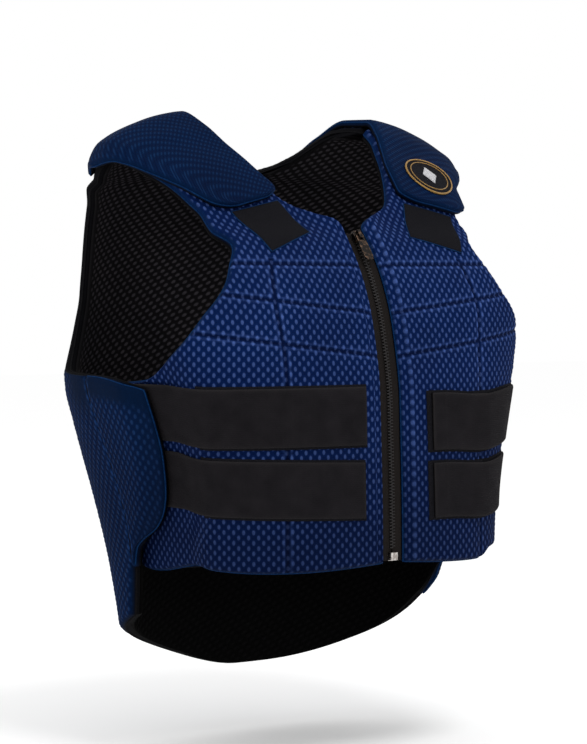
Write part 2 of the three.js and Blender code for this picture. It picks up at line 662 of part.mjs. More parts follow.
// The slider, its bridge, the pull and the bottom box stand on the zip line. Their outlines are
// drawn in a local frame: x across, s up along the zip and o outward from the form.
function zipFrame(z) {
  const p = atFront(0, z);
  const n = formNormal(p);
  return { p: [p[0], p[1], p[2]], n, along: [0, n[2], -n[1]] };
}

function onZip(frame, x, s, o) {
  return [
    frame.p[0] + x,
    frame.p[1] + frame.along[1] * s + frame.n[1] * o,
    frame.p[2] + frame.along[2] * s + frame.n[2] * o,
  ];
}

// A prism between two matching rings of local points (x, s, o).
function ringPrism(frame, ringA, ringB, triangles) {
  const count = ringA.length;
  const points = [...ringA, ...ringB].map(([x, s, o]) => onZip(frame, x, s, o));
  const faces = [];
  for (const [a, b, c] of triangles) faces.push([a, b, c], [a + count, c + count, b + count]);
  for (let k = 0; k < count; k += 1) {
    const next = (k + 1) % count;
    faces.push([k, k + count, next + count], [k, next + count, next]);
  }
  return solidFrom(points, faces);
}

function doubleArea(flat, a, b, c) {
  return (flat[b][0] - flat[a][0]) * (flat[c][1] - flat[a][1])
    - (flat[c][0] - flat[a][0]) * (flat[b][1] - flat[a][1]);
}

// Triangles of a flat outline with holes, wound the same way round as the outline itself.
function flatTriangles(outline, holes = []) {
  const loops = [outline, ...holes].map((loop) => loop.map(([a, b]) => new THREE.Vector2(a, b)));
  const triangles = THREE.ShapeUtils.triangulateShape(loops[0], loops.slice(1));
  const flat = [outline, ...holes].flat();
  const filled = triangles.reduce((sum, [a, b, c]) => sum + doubleArea(flat, a, b, c), 0);
  const around = outline.reduce((sum, p, i) => {
    const q = outline[(i + 1) % outline.length];
    return sum + p[0] * q[1] - q[0] * p[1];
  }, 0);
  return filled * around < 0 ? triangles.map(([a, b, c]) => [a, c, b]) : triangles;
}

// Slider: body from the teeth outward, with a narrow arch that holds the pull.
const SLIDER = { z: 0.768 * HEIGHT, under: -4.3, top: -1.1, half_top: 5.2, half_low: 3.9, tall: 12,
  corner: 1.5, draft: 0.91 };
const BRIDGE_SEAT = 0.1;
const BRIDGE = { half: 1.5, reach: 4.2, high: 3.4, bar: 1.4, foot: 1.3 };
const PULL = { centre: 1.05, thick: 1.2, slot: 2.1, arm: 4.2, slot_end: 5.6, length: 27, half_low: 4.8,
  shoulder: 5, corner: 4, tip: 0.6, step: 0.8 };

function sliderBody() {
  const f = zipFrame(SLIDER.z);
  const h = SLIDER.tall / 2;
  const { half_low: low, half_top: top, corner, draft } = SLIDER;
  const outline = [
    [-low, -h], [low, -h], [top, h - 2 * corner],
    [top - corner, h], [-top + corner, h], [-top, h - 2 * corner],
  ];
  const under = outline.map(([x, s]) => [x, s, SLIDER.under]);
  const over = outline.map(([x, s]) => [x * draft, s * draft, SLIDER.top]);
  return ringPrism(f, under, over, flatTriangles(outline));
}

function sliderBridge() {
  const f = zipFrame(SLIDER.z);
  const base = SLIDER.top + BRIDGE_SEAT;
  const { reach, high, bar, foot, half } = BRIDGE;
  const outline = [
    [-reach, 0], [-reach, high], [reach, high], [reach, 0],
    [reach - foot, 0], [reach - foot, high - bar], [-reach + foot, high - bar], [-reach + foot, 0],
  ];
  const ring = (x) => outline.map(([s, o]) => [x, s, base + o]);
  return ringPrism(f, ring(-half), ring(half), flatTriangles(outline));
}

// The pull: a cross bar under the arch, two arms beside it and a long rounded tongue.
function pullTab() {
  const f = zipFrame(SLIDER.z);
  const { thick, slot, arm, slot_end: slotEnd, length, half_low: low, shoulder, corner, tip, step } = PULL;
  const rightSide = [
    [low * tip, -length], [low, -length + corner], [low, -slotEnd - shoulder],
    [arm, -slotEnd - step], [arm, thick / 2],
  ];
  const leftSide = rightSide.map(([x, s]) => [-x, s]).reverse();
  const outer = [...leftSide, ...rightSide];
  const hole = [[-slot, -thick / 2], [slot, -thick / 2], [slot, -slotEnd], [-slot, -slotEnd]];
  const loops = [outer, hole];
  const triangles = flatTriangles(outer, [hole]);
  const flat = [...outer, ...hole];
  const count = flat.length;
  const middle = SLIDER.top + BRIDGE_SEAT + PULL.centre;
  const points = [];
  for (const side of [-1, 1]) {
    for (const [x, s] of flat) points.push(onZip(f, x, s, middle + side * thick / 2));
  }
  const faces = [];
  for (const [a, b, c] of triangles) faces.push([a, b, c], [a + count, c + count, b + count]);
  let from = 0;
  for (const loop of loops) {
    for (let k = 0; k < loop.length; k += 1) {
      const a = from + k;
      const b = from + (k + 1) % loop.length;
      faces.push([a, a + count, b + count], [a, b + count, b]);
    }
    from += loop.length;
  }
  return solidFrom(points, faces);
}

// The box at the foot of the zip, over the ends of both tapes.
const STOP = { z: 0.216 * HEIGHT, half: 4.4, tall: 8, under: -6.3, top: -2.6, draft: 0.85 };

function zipStop() {
  const f = zipFrame(STOP.z);
  const h = STOP.tall / 2;
  const outline = [[-STOP.half, -h], [STOP.half, -h], [STOP.half, h], [-STOP.half, h]];
  const low = outline.map(([x, s]) => [x, s, STOP.under]);
  const high = outline.map(([x, s]) => [x * STOP.draft, s * STOP.draft, STOP.top]);
  return ringPrism(f, low, high, flatTriangles(outline));
}

// The badge is a plain raised oval on the left flap, with nothing written on it.
const BADGE = { x: 0.6 * HALF_WIDTH, turn: 29.5, half_x: 27, half_turn: 16, out: 3.8, into: 2.3, steps: 6 };

function badge() {
  const rows = [];
  for (let r = 0; r <= BADGE.steps; r += 1) {
    const row = [];
    for (let c = 0; c <= BADGE.steps; c += 1) {
      const u = 2 * c / BADGE.steps - 1;
      const v = 2 * r / BADGE.steps - 1;
      const x = BADGE.x + BADGE.half_x * u * Math.sqrt(1 - v * v / 2);
      const turn = BADGE.turn + BADGE.half_turn * v * Math.sqrt(1 - u * u / 2);
      row.push({ p: atFan(x, turn), out: BADGE.out, into: BADGE.into });
    }
    rows.push(row);
  }
  return rows;
}

addPiece('back_panel', 'mesh_blue', backPanel());
addPiece('back_lining', 'mesh_black', backLining());
for (const [side, sign] of [['right', -1], ['left', 1]]) {
  addPiece(`front_panel_${side}`, 'mesh_blue', sheetSolid(frontPanel(sign)));
  addPiece(`front_lining_${side}`, 'mesh_black', sheetSolid(frontLining(sign)));
  addPiece(`shoulder_flap_${side}`, 'flap_blue', sheetSolid(flap(sign, FLAP_ENDS[side])));
  const { steps, under, top } = CHEST_PATCH;
  const patch = sheetSolid(laidPatch(CHEST_PATCH[side], sign, steps, under, top));
  addPiece(`chest_patch_${side}`, 'loop_black', patch);
  for (const level of ['upper', 'lower']) {
    const band = BANDS[side][level];
    const width = STRAP_WIDTH[level];
    const loop = waistBand(band, sign, band.patch_x, PATCH_END, width + 2 * PATCH_MARGIN, PATCH_LAYER);
    addPiece(`waist_patch_${level}_${side}`, 'loop_black', sheetSolid(loop));
    const strap = waistBand(band, sign, band.strap_x, STRAP_END, width, STRAP_LAYER);
    addPiece(`waist_strap_${level}_${side}`, 'elastic_black', sheetSolid(strap));
  }
  const edges = [sign * TAPE.inner, sign * (ZIP_HALF - GAP)];
  const tape = zipStrip(...edges, ZIP.low, ZIP.high, TAPE.out, TAPE.into);
  addPiece(`zip_tape_${side}`, 'zip_tape', sheetSolid(tape));
}
const teethRun = [ZIP.low + TEETH.above, ZIP.high - TEETH.below];
const teeth = zipStrip(-TEETH.half, TEETH.half, ...teethRun, TEETH.out, TEETH.into);
addPiece('zip_teeth', 'zip_teeth', sheetSolid(teeth));
addPiece('zip_stop', 'bright_metal', zipStop());
addPiece('zip_slider', 'dark_metal', sliderBody());
addPiece('slider_bridge', 'dark_metal', sliderBridge());
addPiece('zip_pull', 'dark_metal', pullTab());
addPiece('shoulder_badge', 'badge_cloth', sheetSolid(badge()));

export default vest;
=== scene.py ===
import math

import bmesh
import bpy
import numpy as np
from mathutils import Matrix, Vector


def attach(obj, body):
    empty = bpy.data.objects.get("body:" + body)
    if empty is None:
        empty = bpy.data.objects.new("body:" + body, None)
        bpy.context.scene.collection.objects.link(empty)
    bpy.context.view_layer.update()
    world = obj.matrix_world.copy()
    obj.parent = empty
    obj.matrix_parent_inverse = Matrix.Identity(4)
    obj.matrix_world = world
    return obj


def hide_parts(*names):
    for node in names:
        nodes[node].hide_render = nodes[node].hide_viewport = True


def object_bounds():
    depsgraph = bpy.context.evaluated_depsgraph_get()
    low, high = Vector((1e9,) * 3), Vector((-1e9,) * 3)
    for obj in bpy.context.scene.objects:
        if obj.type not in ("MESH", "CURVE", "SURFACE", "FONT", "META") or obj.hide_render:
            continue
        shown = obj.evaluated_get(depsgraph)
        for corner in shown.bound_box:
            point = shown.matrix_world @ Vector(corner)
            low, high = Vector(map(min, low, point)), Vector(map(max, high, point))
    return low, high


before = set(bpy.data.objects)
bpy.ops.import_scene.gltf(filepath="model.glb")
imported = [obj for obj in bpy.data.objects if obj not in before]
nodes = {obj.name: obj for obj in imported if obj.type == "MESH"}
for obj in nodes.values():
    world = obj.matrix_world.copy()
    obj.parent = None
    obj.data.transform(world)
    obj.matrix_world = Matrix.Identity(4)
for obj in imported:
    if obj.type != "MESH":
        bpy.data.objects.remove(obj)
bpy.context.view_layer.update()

# The back panel
# A foam pad that runs from the tail up over both shoulders, under a knitted blue air mesh. It is
# cut to the trunk, and a turned edge of thin black cloth closes its rim.
height = 0.500
half_width = 0.200
front_depth = 0.150
back_depth = 0.125
seat = np.array([0.0, 0.024, 0.472])
pad = 0.009
# The shoulders are laid out as a fan round this line across the trunk.
fan_y = 0.018
fan_z = 0.8 * height

# Level sections of the trunk, as shares of the four sizes above. mid is where front meets back.
form_columns = ("z", "half", "front", "back", "mid", "front_power", "back_power")
form_rows = (
    (-0.04, 0.79, 1.0, 0.704, 0.0, 2.9, 2.6),
    (0.08, 0.815, 1.007, 0.736, 0.0, 3.0, 2.7),
    (0.2, 0.845, 1.013, 0.848, 0.0, 3.1, 2.8),
    (0.32, 0.89, 1.007, 0.984, 0.0, 2.9, 3.0),
    (0.43, 0.965, 0.993, 1.032, 0.0, 2.8, 3.1),
    (0.51, 1.025, 0.98, 1.048, 0.0, 2.8, 3.0),
    (0.58, 1.035, 0.953, 1.056, 0.016, 3.2, 2.6),
    (0.65, 1.025, 0.92, 1.024, 0.048, 3.7, 2.5),
    (0.72, 1.0, 0.84, 0.976, 0.08, 3.6, 2.5),
    (0.784, 0.98, 0.72, 0.88, 0.112, 3.3, 2.5),
    (0.84, 0.97, 0.587, 0.752, 0.128, 3.1, 2.5),
    (0.89, 0.96, 0.427, 0.608, 0.136, 2.9, 2.5),
    (0.924, 0.915, 0.307, 0.48, 0.144, 2.6, 2.4),
    (0.956, 0.775, 0.213, 0.36, 0.16, 2.4, 2.3),
    (0.98, 0.585, 0.133, 0.256, 0.192, 2.2, 2.2),
    (0.998, 0.3, 0.067, 0.144, 0.24, 2.0, 2.0),
)
form_sizes = (height, half_width, front_depth, back_depth, back_depth, 1.0, 1.0)
form = dict(zip(form_columns, (np.array(form_rows) * form_sizes).T))


def spline(knots, values, at, held=False):
    """A smooth curve through values, given at knots. Held, it never swings past a value."""
    knots = np.asarray(knots, float)
    values = np.asarray(values, float)
    at = np.asarray(at, float)
    wide = (...,) + (None,) * (values.ndim - 1)
    slopes = np.gradient(values, knots, axis=0)
    if held:
        secants = np.diff(values, axis=0) / np.diff(knots)[wide]
        before = secants[:-1]
        after = secants[1:]
        same_way = before * after > 0
        total = np.where(same_way, before + after, 1)
        slopes[1:-1] = np.where(same_way, 2 * before * after / total, 0)
    i = np.clip(np.searchsorted(knots, at, side="right") - 1, 0, len(knots) - 2)
    step = (knots[i + 1] - knots[i])[wide]
    t = (at - knots[i])[wide] / step
    near = (2 * t**3 - 3 * t**2 + 1) * values[i] + (t**3 - 2 * t**2 + t) * step * slopes[i]
    far = (3 * t**2 - 2 * t**3) * values[i + 1] + (t**3 - t**2) * step * slopes[i + 1]
    return near + far


def form_at(name, z):
    return spline(form["z"], form[name], np.clip(z, form["z"][0], form["z"][-1]))


def field(p):
    """Below zero inside the trunk and above zero outside."""
    x, y, z = np.moveaxis(p, -1, 0)
    mid = form_at("mid", z)
    ahead = y < mid
    depth = np.where(ahead, form_at("front", z), form_at("back", z))
    power = np.where(ahead, form_at("front_power", z), form_at("back_power", z))
    total = (np.abs(x) / form_at("half", z)) ** power + (np.abs(y - mid) / depth) ** power
    roof = 50 * np.maximum(0, z - form["z"][-1])
    return total ** (1 / power) - 1 + roof


cast_reach = 0.4
cast_halvings = 26


def cast(start, way):
    """Goes from start along way until the trunk's surface, by halving the stretch."""
    start, way = np.broadcast_arrays(start, way)
    way = way / np.linalg.norm(way, axis=-1, keepdims=True)
    low = np.zeros(start.shape[:-1])
    high = np.full(start.shape[:-1], cast_reach)
    for _ in range(cast_halvings):
        middle = (low + high) / 2
        inside = field(start + way * middle[..., None]) < 0
        low = np.where(inside, middle, low)
        high = np.where(inside, high, middle)
    return start + way * low[..., None]


def stacked(x, y, z):
    return np.stack(np.broadcast_arrays(x, y, z), axis=-1).astype(float)


def at_angle(z, degrees):
    """A place by height and by angle from the front middle, positive to the wearer's left."""
    turn = np.radians(degrees)
    return cast(stacked(0, form_at("mid", z), z), stacked(np.sin(turn), -np.cos(turn), 0))


def at_fan(x, degrees):
    """A place by x and by the turn over the shoulder: 0 level ahead, 90 up, 180 level behind."""
    turn = np.radians(degrees)
    start = stacked(x, fan_y, fan_z)
    return cast(start, stacked(0, -np.cos(turn), np.sin(turn)))


def smooth_step(low, high, value):
    t = np.clip((value - low) / (high - low), 0, 1)
    return t * t * (3 - 2 * t)


def lengths_along(points, axis):
    """The length along each line of the grid, from its first point."""
    steps = np.linalg.norm(np.diff(points, axis=axis), axis=-1)
    return np.insert(np.cumsum(steps, axis=axis), 0, 0, axis=axis)


def smooth_sheet(lattice, step):
    """An even fine grid through a coarse lattice of points, with cells of about step."""
    runs = lengths_along(lattice, 1)
    columns = round(float(runs[:, -1].max() / step)) + 1
    fine = np.array([
        spline(run, row, np.linspace(0, run[-1], columns), held=True)
        for run, row in zip(runs, lattice)
    ])
    rise = lengths_along(fine, 0).mean(axis=1)
    rows = round(float(rise[-1] / step)) + 1
    return spline(rise, fine, np.linspace(0, rise[-1], rows), held=True)


slope_step = 0.0004


def outward(points):
    """The unit normals of the trunk's surface at the points."""
    steps = np.eye(3) * slope_step
    normal = np.stack([field(points + step) - field(points - step) for step in steps], axis=-1)
    return normal / np.linalg.norm(normal, axis=-1, keepdims=True)


def middle_rise(z, name):
    """The length up the trunk's middle line in front or behind, from its foot to each height."""
    levels = np.linspace(form["z"][0], form["z"][-1], 200)
    steps = np.hypot(np.diff(levels), np.diff(form_at(name, levels)))
    return np.interp(z, levels, np.insert(np.cumsum(steps), 0, 0))


def cloth_places(points):
    """Lengths across the cloth from the trunk's middle line, and up it from the tail."""
    run = lengths_along(points, 1)
    x = points[..., 0]
    nearest = np.abs(x).argmin(axis=1)[:, None]
    way = np.sign(x[:, -1:] - x[:, :1])
    u = run - np.take_along_axis(run, nearest, 1) + way * np.take_along_axis(x, nearest, 1)
    name = "front" if points[..., 1].mean() < 0 else "back"
    return u, middle_rise(points[..., 2], name)


air_pitch = (0.0083, 0.0088)
air_dot = (0.0020, 0.0030)
air_height = 0.0008


def nubs(u, v, pitch=air_pitch, size=air_dot):
    """The raised dots of the knit in staggered rows: 1 on a dot and 0 between the dots."""
    tops = []
    for shift in (0, 0.5):
        du = (u / pitch[0] + shift + 0.5) % 1 - 0.5
        dv = (v / pitch[1] + shift + 0.5) % 1 - 0.5
        tops.append((du * pitch[0] / size[0]) ** 2 + (dv * pitch[1] / size[1]) ** 2)
    return np.exp(-np.minimum(*tops))


def edge_distance(points, *edges):
    """How far each point of a grid is from the named edges, or else from all four."""
    run = lengths_along(points, 1)
    rise = lengths_along(points, 0)
    ways = {
        "left": run,
        "right": run[:, -1:] - run,
        "low": rise,
        "high": rise[-1:] - rise,
    }
    return np.minimum.reduce([ways[edge] for edge in edges or ways])


def rounded_edge(distance, drop, width):
    """How far the surface falls towards an edge, as a quarter of an ellipse."""
    near = np.clip(1 - distance / width, 0, 1)
    return drop * (1 - np.sqrt(1 - near**2))


weld = 0.00001


def grid_piece(name, outer, inner, u, v, marks):
    """A closed pad from an outer grid of points and a coarser inner one with as many rows."""
    rows = outer.shape[0]
    loop = np.concatenate([outer, inner[:, ::-1], outer[:, :1]], axis=1)
    mesh = bpy.data.meshes.new(name)
    bm = bmesh.new()
    bmesh.ops.create_grid(bm, x_segments=loop.shape[1] - 1, y_segments=rows - 1, size=1.0)
    bm.to_mesh(mesh)
    bm.free()
    mesh.vertices.foreach_set("co", (loop - seat).ravel())
    inside = inner.shape[:2]
    cloth_u = np.concatenate([u, np.broadcast_to(u[:, -1:], inside), u[:, :1]], axis=1)
    cloth_v = np.concatenate([v, np.broadcast_to(v[:, -1:], inside), v[:, :1]], axis=1)
    corners = np.zeros(len(mesh.loops), dtype=int)
    mesh.loops.foreach_get("vertex_index", corners)
    cloth = mesh.uv_layers.new(name="cloth")
    places = np.stack([cloth_u.ravel()[corners], cloth_v.ravel()[corners]], axis=1)
    cloth.data.foreach_set("uv", places.ravel())
    for mark, values in marks.items():
        layer = mesh.attributes.new(mark, "FLOAT", "POINT")
        within = np.full(inside, 1.0 if mark == "bound" else 0.0)
        spread = np.concatenate([values, within, values[:, :1]], axis=1)
        layer.data.foreach_set("value", spread.ravel())
    bm = bmesh.new()
    bm.from_mesh(mesh)
    rim = [corner for corner in bm.verts if corner.is_boundary]
    bmesh.ops.remove_doubles(bm, verts=rim, dist=weld)
    bmesh.ops.holes_fill(bm, edges=[e for e in bm.edges if e.is_boundary], sides=0)
    bmesh.ops.recalc_face_normals(bm, faces=bm.faces)
    for face in bm.faces:
        face.smooth = len(face.verts) < 5
    bm.to_mesh(mesh)
    bm.free()
    piece = bpy.data.objects.new(name, mesh)
    bpy.context.scene.collection.objects.link(piece)
    return piece


def padded_piece(name, points, out, into, inner_columns=14, places=None, **marks):
    """A pad whose outer face lies out above the grid of points and its inner face into."""
    normal = outward(points)
    picked = np.linspace(0, points.shape[1] - 1, inner_columns).round().astype(int)
    outer = points + normal * out[..., None]
    inner = (points + normal * into[..., None])[:, picked]
    u, v = places or cloth_places(points)
    return grid_piece(name, outer, inner, u, v, marks)


cloth_specular = 0.035


def new_material(name, colour, roughness, metallic=0.0, specular=cloth_specular):
    material = bpy.data.materials.new(name)
    material.use_nodes = True
    shader = material.node_tree.nodes["Principled BSDF"]
    shader.inputs["Base Color"].default_value = (*colour, 1)
    shader.inputs["Roughness"].default_value = roughness
    shader.inputs["Metallic"].default_value = metallic
    shader.inputs["Specular IOR Level"].default_value = specular
    return material, shader


def node_fed(tree, kind, inputs, **settings):
    """A new node whose inputs are sockets to link or plain values. Gives the node."""
    node = tree.nodes.new(kind)
    for setting, value in settings.items():
        setattr(node, setting, value)
    for key, value in inputs.items():
        if isinstance(value, bpy.types.NodeSocket):
            tree.links.new(value, node.inputs[key])
        else:
            node.inputs[key].default_value = value
    return node


def worked(tree, operation, *values):
    return node_fed(tree, "ShaderNodeMath", dict(enumerate(values)), operation=operation).outputs[0]


def cloth_axes(tree):
    """The lengths across and up the cloth, in metres."""
    place = tree.nodes.new("ShaderNodeUVMap")
    place.uv_map = "cloth"
    split = node_fed(tree, "ShaderNodeSeparateXYZ", {0: place.outputs["UV"]})
    return split.outputs[0], split.outputs[1]


def dot_height(tree, pitch, size, slant=0.0):
    """The knit's dots, worked out from the cloth's own lengths: 1 on a dot, 0 between."""
    across, up = cloth_axes(tree)
    leaned = worked(tree, "MULTIPLY_ADD", across, slant, up)
    tops = []
    for shift in (0.5, 1.0):
        parts = []
        for length, i in ((across, 0), (leaned, 1)):
            turns = worked(tree, "MULTIPLY_ADD", length, 1 / pitch[i], shift)
            centred = worked(tree, "SUBTRACT", worked(tree, "FRACT", turns), 0.5)
            scaled = worked(tree, "MULTIPLY", centred, pitch[i] / size[i])
            parts.append(worked(tree, "MULTIPLY", scaled, scaled))
        tops.append(worked(tree, "ADD", *parts))
    nearest = worked(tree, "MINIMUM", *tops)
    return worked(tree, "EXPONENT", worked(tree, "MULTIPLY", nearest, -1.0))


def ramp(tree, value, *stops):
    """A colour ramp read off at value. Each stop is a place and a colour."""
    node = node_fed(tree, "ShaderNodeValToRGB", {0: value})
    band = node.color_ramp
    while len(band.elements) < len(stops):
        band.elements.new(0.5)
    for element, (place, colour) in zip(band.elements, stops):
        element.position = place
        element.color = (*colour, 1)
    return node.outputs[0]


def noise(tree, scale, detail=3.0):
    place = tree.nodes.new("ShaderNodeTexCoord").outputs["Object"]
    inputs = {"Vector": place, "Scale": scale, "Detail": detail}
    return node_fed(tree, "ShaderNodeTexNoise", inputs).outputs[0]


def mixed(tree, share, first, second, blend="MIX"):
    node = tree.nodes.new("ShaderNodeMix")
    node.data_type = "RGBA"
    node.blend_type = blend
    for socket, value in ((node.inputs[0], share), (node.inputs[6], first), (node.inputs[7], second)):
        if isinstance(value, bpy.types.NodeSocket):
            tree.links.new(value, socket)
        else:
            socket.default_value = value if isinstance(value, float) else (*value, 1)
    return node.outputs[2]


def marked(tree, mark):
    node = tree.nodes.new("ShaderNodeAttribute")
    node.attribute_name = mark
    return node.outputs["Fac"]


def bumped(tree, shader, height_socket, depth, strength=1.0):
    inputs = {"Strength": strength, "Distance": depth, "Height": height_socket}
    bump = node_fed(tree, "ShaderNodeBump", inputs)
    tree.links.new(bump.outputs[0], shader.inputs["Normal"])


bound_black = (0.0022, 0.0022, 0.003)
# Painted shade: the heights between which a knit's tone rises from its low share to the whole, darker
# towards the hem, where the vest is less lit.
painted_light_levels = (-0.35, -0.35 + 1 / 6)


def knit_material(name, pitch, size, shaded_hole, ground, lit_dot, plain, slant=0.0, depth=0.0007, low=0.52):
    """A knit with raised dots, painted lighter on their tops as highlight and darker between them as
    shade.
    raised says where they show. seam says how near a seam lies: it paints a highlight on the dots
    beside it and shade in its middle. bound says where the rim is black. low is how much of its tone
    the painted shade leaves near the hem."""
    material, shader = new_material(name, ground, 0.8)
    tree = material.node_tree
    top = dot_height(tree, pitch, size, slant)
    raised = marked(tree, "raised")
    seam = marked(tree, "seam")
    # Painted light: the dots are painted lighter for the highlight on their tops, and the hollows
    # between them darker for the shade in them.
    knit = ramp(tree, top, (0.02, shaded_hole), (0.2, ground), (0.5, ground), (0.8, lit_dot), (1.0, lit_dot))
    cloth = mixed(tree, raised, plain, knit)
    # Painted highlight: the dots beside a seam are painted brighter, where light catches them.
    beside = ramp(tree, seam, (0.1, (0, 0, 0)), (0.45, (1, 1, 1)), (0.75, (0, 0, 0)))
    glint = worked(tree, "MULTIPLY", worked(tree, "MULTIPLY", beside, top), 0.75)
    bright = tuple(min(1.0, 1.7 * c) for c in lit_dot)
    cloth = mixed(tree, glint, cloth, bright)
    # Painted shade: the middle of a seam is painted darker, for the shade in its groove.
    painted_seam_shade = ramp(tree, seam, (0.72, (1, 1, 1)), (0.95, (0.5, 0.5, 0.55)))
    cloth = mixed(tree, 1.0, cloth, painted_seam_shade, "MULTIPLY")
    cloth = mixed(tree, marked(tree, "bound"), cloth, bound_black)
    # Painted shade: the colour is multiplied darker towards the bottom of the vest.
    place = tree.nodes.new("ShaderNodeTexCoord").outputs["Object"]
    level = node_fed(tree, "ShaderNodeSeparateXYZ", {0: place}).outputs[2]
    span = painted_light_levels[1] - painted_light_levels[0]
    rise = worked(tree, "MULTIPLY_ADD", level, 1 / span, -painted_light_levels[0] / span)
    cloth = mixed(tree, 1.0, cloth, ramp(tree, rise, (0.0, (low,) * 3), (1.0, (1, 1, 1))), "MULTIPLY")
    patchy = ramp(tree, noise(tree, 14.0), (0.3, (0.8, 0.82, 0.84)), (0.7, (1.18, 1.15, 1.12)))
    cloth = mixed(tree, 1.0, cloth, patchy, "MULTIPLY")
    fibre = ramp(tree, noise(tree, 900.0, 2.0), (0.3, (0.85, 0.85, 0.85)), (0.7, (1.15, 1.15, 1.15)))
    cloth = mixed(tree, 1.0, cloth, fibre, "MULTIPLY")
    tree.links.new(cloth, shader.inputs["Base Color"])
    lifted = worked(tree, "MULTIPLY", top, raised)
    rough = worked(tree, "MULTIPLY_ADD", noise(tree, 1400.0, 2.0), 0.25, lifted)
    bumped(tree, shader, rough, depth)
    return material


def dressed(piece, material, body="vest"):
    piece.data.materials.clear()
    piece.data.materials.append(material)
    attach(piece, body)
    return piece


def edge_cord(name, path, radius, material, closed=True, step=0.0028):
    """A thin round edging along a path of points."""
    run = lengths_along(path[None], 1)[0]
    if closed:
        path = np.concatenate([path, path[:1]])
        run = lengths_along(path[None], 1)[0]
    even = np.linspace(0, run[-1], round(float(run[-1] / step)) + 1)
    spots = np.stack([np.interp(even, run, path[:, i]) for i in range(3)], axis=1)
    if closed:
        spots = spots[:-1]
    curve = bpy.data.curves.new(name, "CURVE")
    curve.dimensions = "3D"
    curve.bevel_depth = radius
    curve.bevel_resolution = 1
    curve.use_fill_caps = True
    line = curve.splines.new("POLY")
    line.points.add(len(spots) - 1)
    flat = np.concatenate([spots - seat, np.ones((len(spots), 1))], axis=1)
    line.points.foreach_set("co", flat.ravel())
    line.use_cyclic_u = closed
    source = bpy.data.objects.new(name + "_path", curve)
    mesh = bpy.data.meshes.new_from_object(source)
    mesh.name = name
    bpy.data.objects.remove(source)
    mesh.shade_smooth()
    piece = bpy.data.objects.new(name, mesh)
    bpy.context.scene.collection.objects.link(piece)
    return dressed(piece, material)


def rim_path(points, out):
    """The outer face's rim, once round."""
    outer = points + outward(points) * out[..., None]
    return np.concatenate([outer[0], outer[1:, -1], outer[-1, -2::-1], outer[-2:0:-1, 0]])


# Painted shade: a darker copy of the front's air mesh, for the back and the wings, which turn away from
# the light.
shaded_side_blue = knit_material(
    "side_mesh_blue_shaded",
    air_pitch,
    air_dot,
    shaded_hole=(0.0001, 0.0028, 0.015),
    ground=(0.0002, 0.0058, 0.030),
    lit_dot=(0.005, 0.020, 0.072),
    plain=(0.0001, 0.0052, 0.022),
    low=0.9,
)


def grained_material(
    name, deep, bright, roughness, scale, depth, detail=3.0, specular=cloth_specular
):
    """A plain stuff, mottled finely between two tones."""
    material, shader = new_material(name, bright, roughness, specular=specular)
    tree = material.node_tree
    grain = noise(tree, scale, detail)
    tree.links.new(ramp(tree, grain, (0.3, deep), (0.7, bright)), shader.inputs["Base Color"])
    bumped(tree, shader, grain, depth)
    return material


edging_black = grained_material(
    "edging_black", (0.0015, 0.0015, 0.002), (0.006, 0.006, 0.007),
    roughness=0.85, scale=700.0, depth=0.0003,
)

# Rows of the back: height at the middle, then height and angle from the back middle at its right
# and its left side. Up to foot_z its sides meet the wings, and above it the armholes.
back_rows = (
    (-0.02, 0.106, 85.5, 0.1004, 88),
    (0.064, 0.158, 87.4, 0.155, 88),
    (0.148, 0.204, 88.6, 0.2, 88),
    (0.216, 0.246, 88.7, 0.243, 88),
    (0.264, 0.282, 88.2, 0.28, 88),
    (0.316, 0.318, 87.2, 0.318, 87.2),
    (0.388, 0.388, 85.6, 0.388, 85.6),
    (0.448, 0.448, 84.6, 0.448, 84.6),
    (0.496, 0.496, 84.3, 0.496, 84.3),
    (0.524, 0.5235, 84.2, 0.5235, 84.2),
    (0.542, 0.5255, 78, 0.5255, 78),
    (0.56, 0.531, 70.5, 0.531, 70.5),
    (0.582, 0.558, 66.4, 0.558, 66.4),
    (0.612, 0.606, 63.6, 0.606, 63.6),
    (0.664, 0.664, 61.8, 0.664, 61.8),
    (0.732, 0.732, 63.4, 0.732, 63.4),
    (0.78, 0.78, 66.5, 0.78, 66.5),
)
foot_z = 0.5235 * height
tail_curve = {"right": 1.8, "left": 3.6}
# The neck edge by x and by the turn up from the back, then the shoulder seam out to the armhole.
neck_x = np.array((0, 0.06, 0.1, 0.185, 0.265, 0.345, 0.425, 0.485, 0.51, 0.9425)) * half_width
neck_rise = (34.5, 35, 36, 42, 50, 61, 74, 83, 89.5, 89.5)
arm_rise = (0, 10, 24, 36, 50, 61, 74, 89.5)
arm_x = np.array((0.83, 0.845, 0.88, 0.905, 0.9275, 0.9375, 0.9425, 0.9425)) * half_width


def back_half(row, sign, shares):
    """Half a level row of the back, from the middle outward."""
    middle, right_z, right_angle, left_z, left_angle = row
    side_z, angle, curve = right_z, right_angle, tail_curve["right"]
    if sign > 0:
        side_z, angle, curve = left_z, left_angle, tail_curve["left"]
    z = height * (middle + (side_z - middle) * shares**curve)
    return at_angle(z, sign * (180 - angle * shares))


def yoke_half(part, sign, shares):
    """Half a row over the shoulder blades, part of the way up to the neck and shoulder edge."""
    x = shares * half_width * 0.9425
    for _ in range(3):
        rise = 10 + (np.interp(x, neck_x, neck_rise) - 10) * part
        x = shares * np.interp(rise, arm_rise, arm_x)
    return at_fan(sign * x, 180 - rise)


def back_lattice():
    shares = np.linspace(0, 1, 19)
    rows = []
    for row in back_rows:
        halves = [back_half(row, sign, shares) for sign in (-1, 1)]
        rows.append(np.concatenate([halves[0][:0:-1], halves[1]]))
    for part in (0, 0.18, 0.36, 0.54, 0.72, 0.88, 1):
        halves = [yoke_half(part, sign, shares) for sign in (-1, 1)]
        rows.append(np.concatenate([halves[0][:0:-1], halves[1]]))
    return np.array(rows)


yoke_sink = 0.0064
yoke_sink_turns = (26, 41)


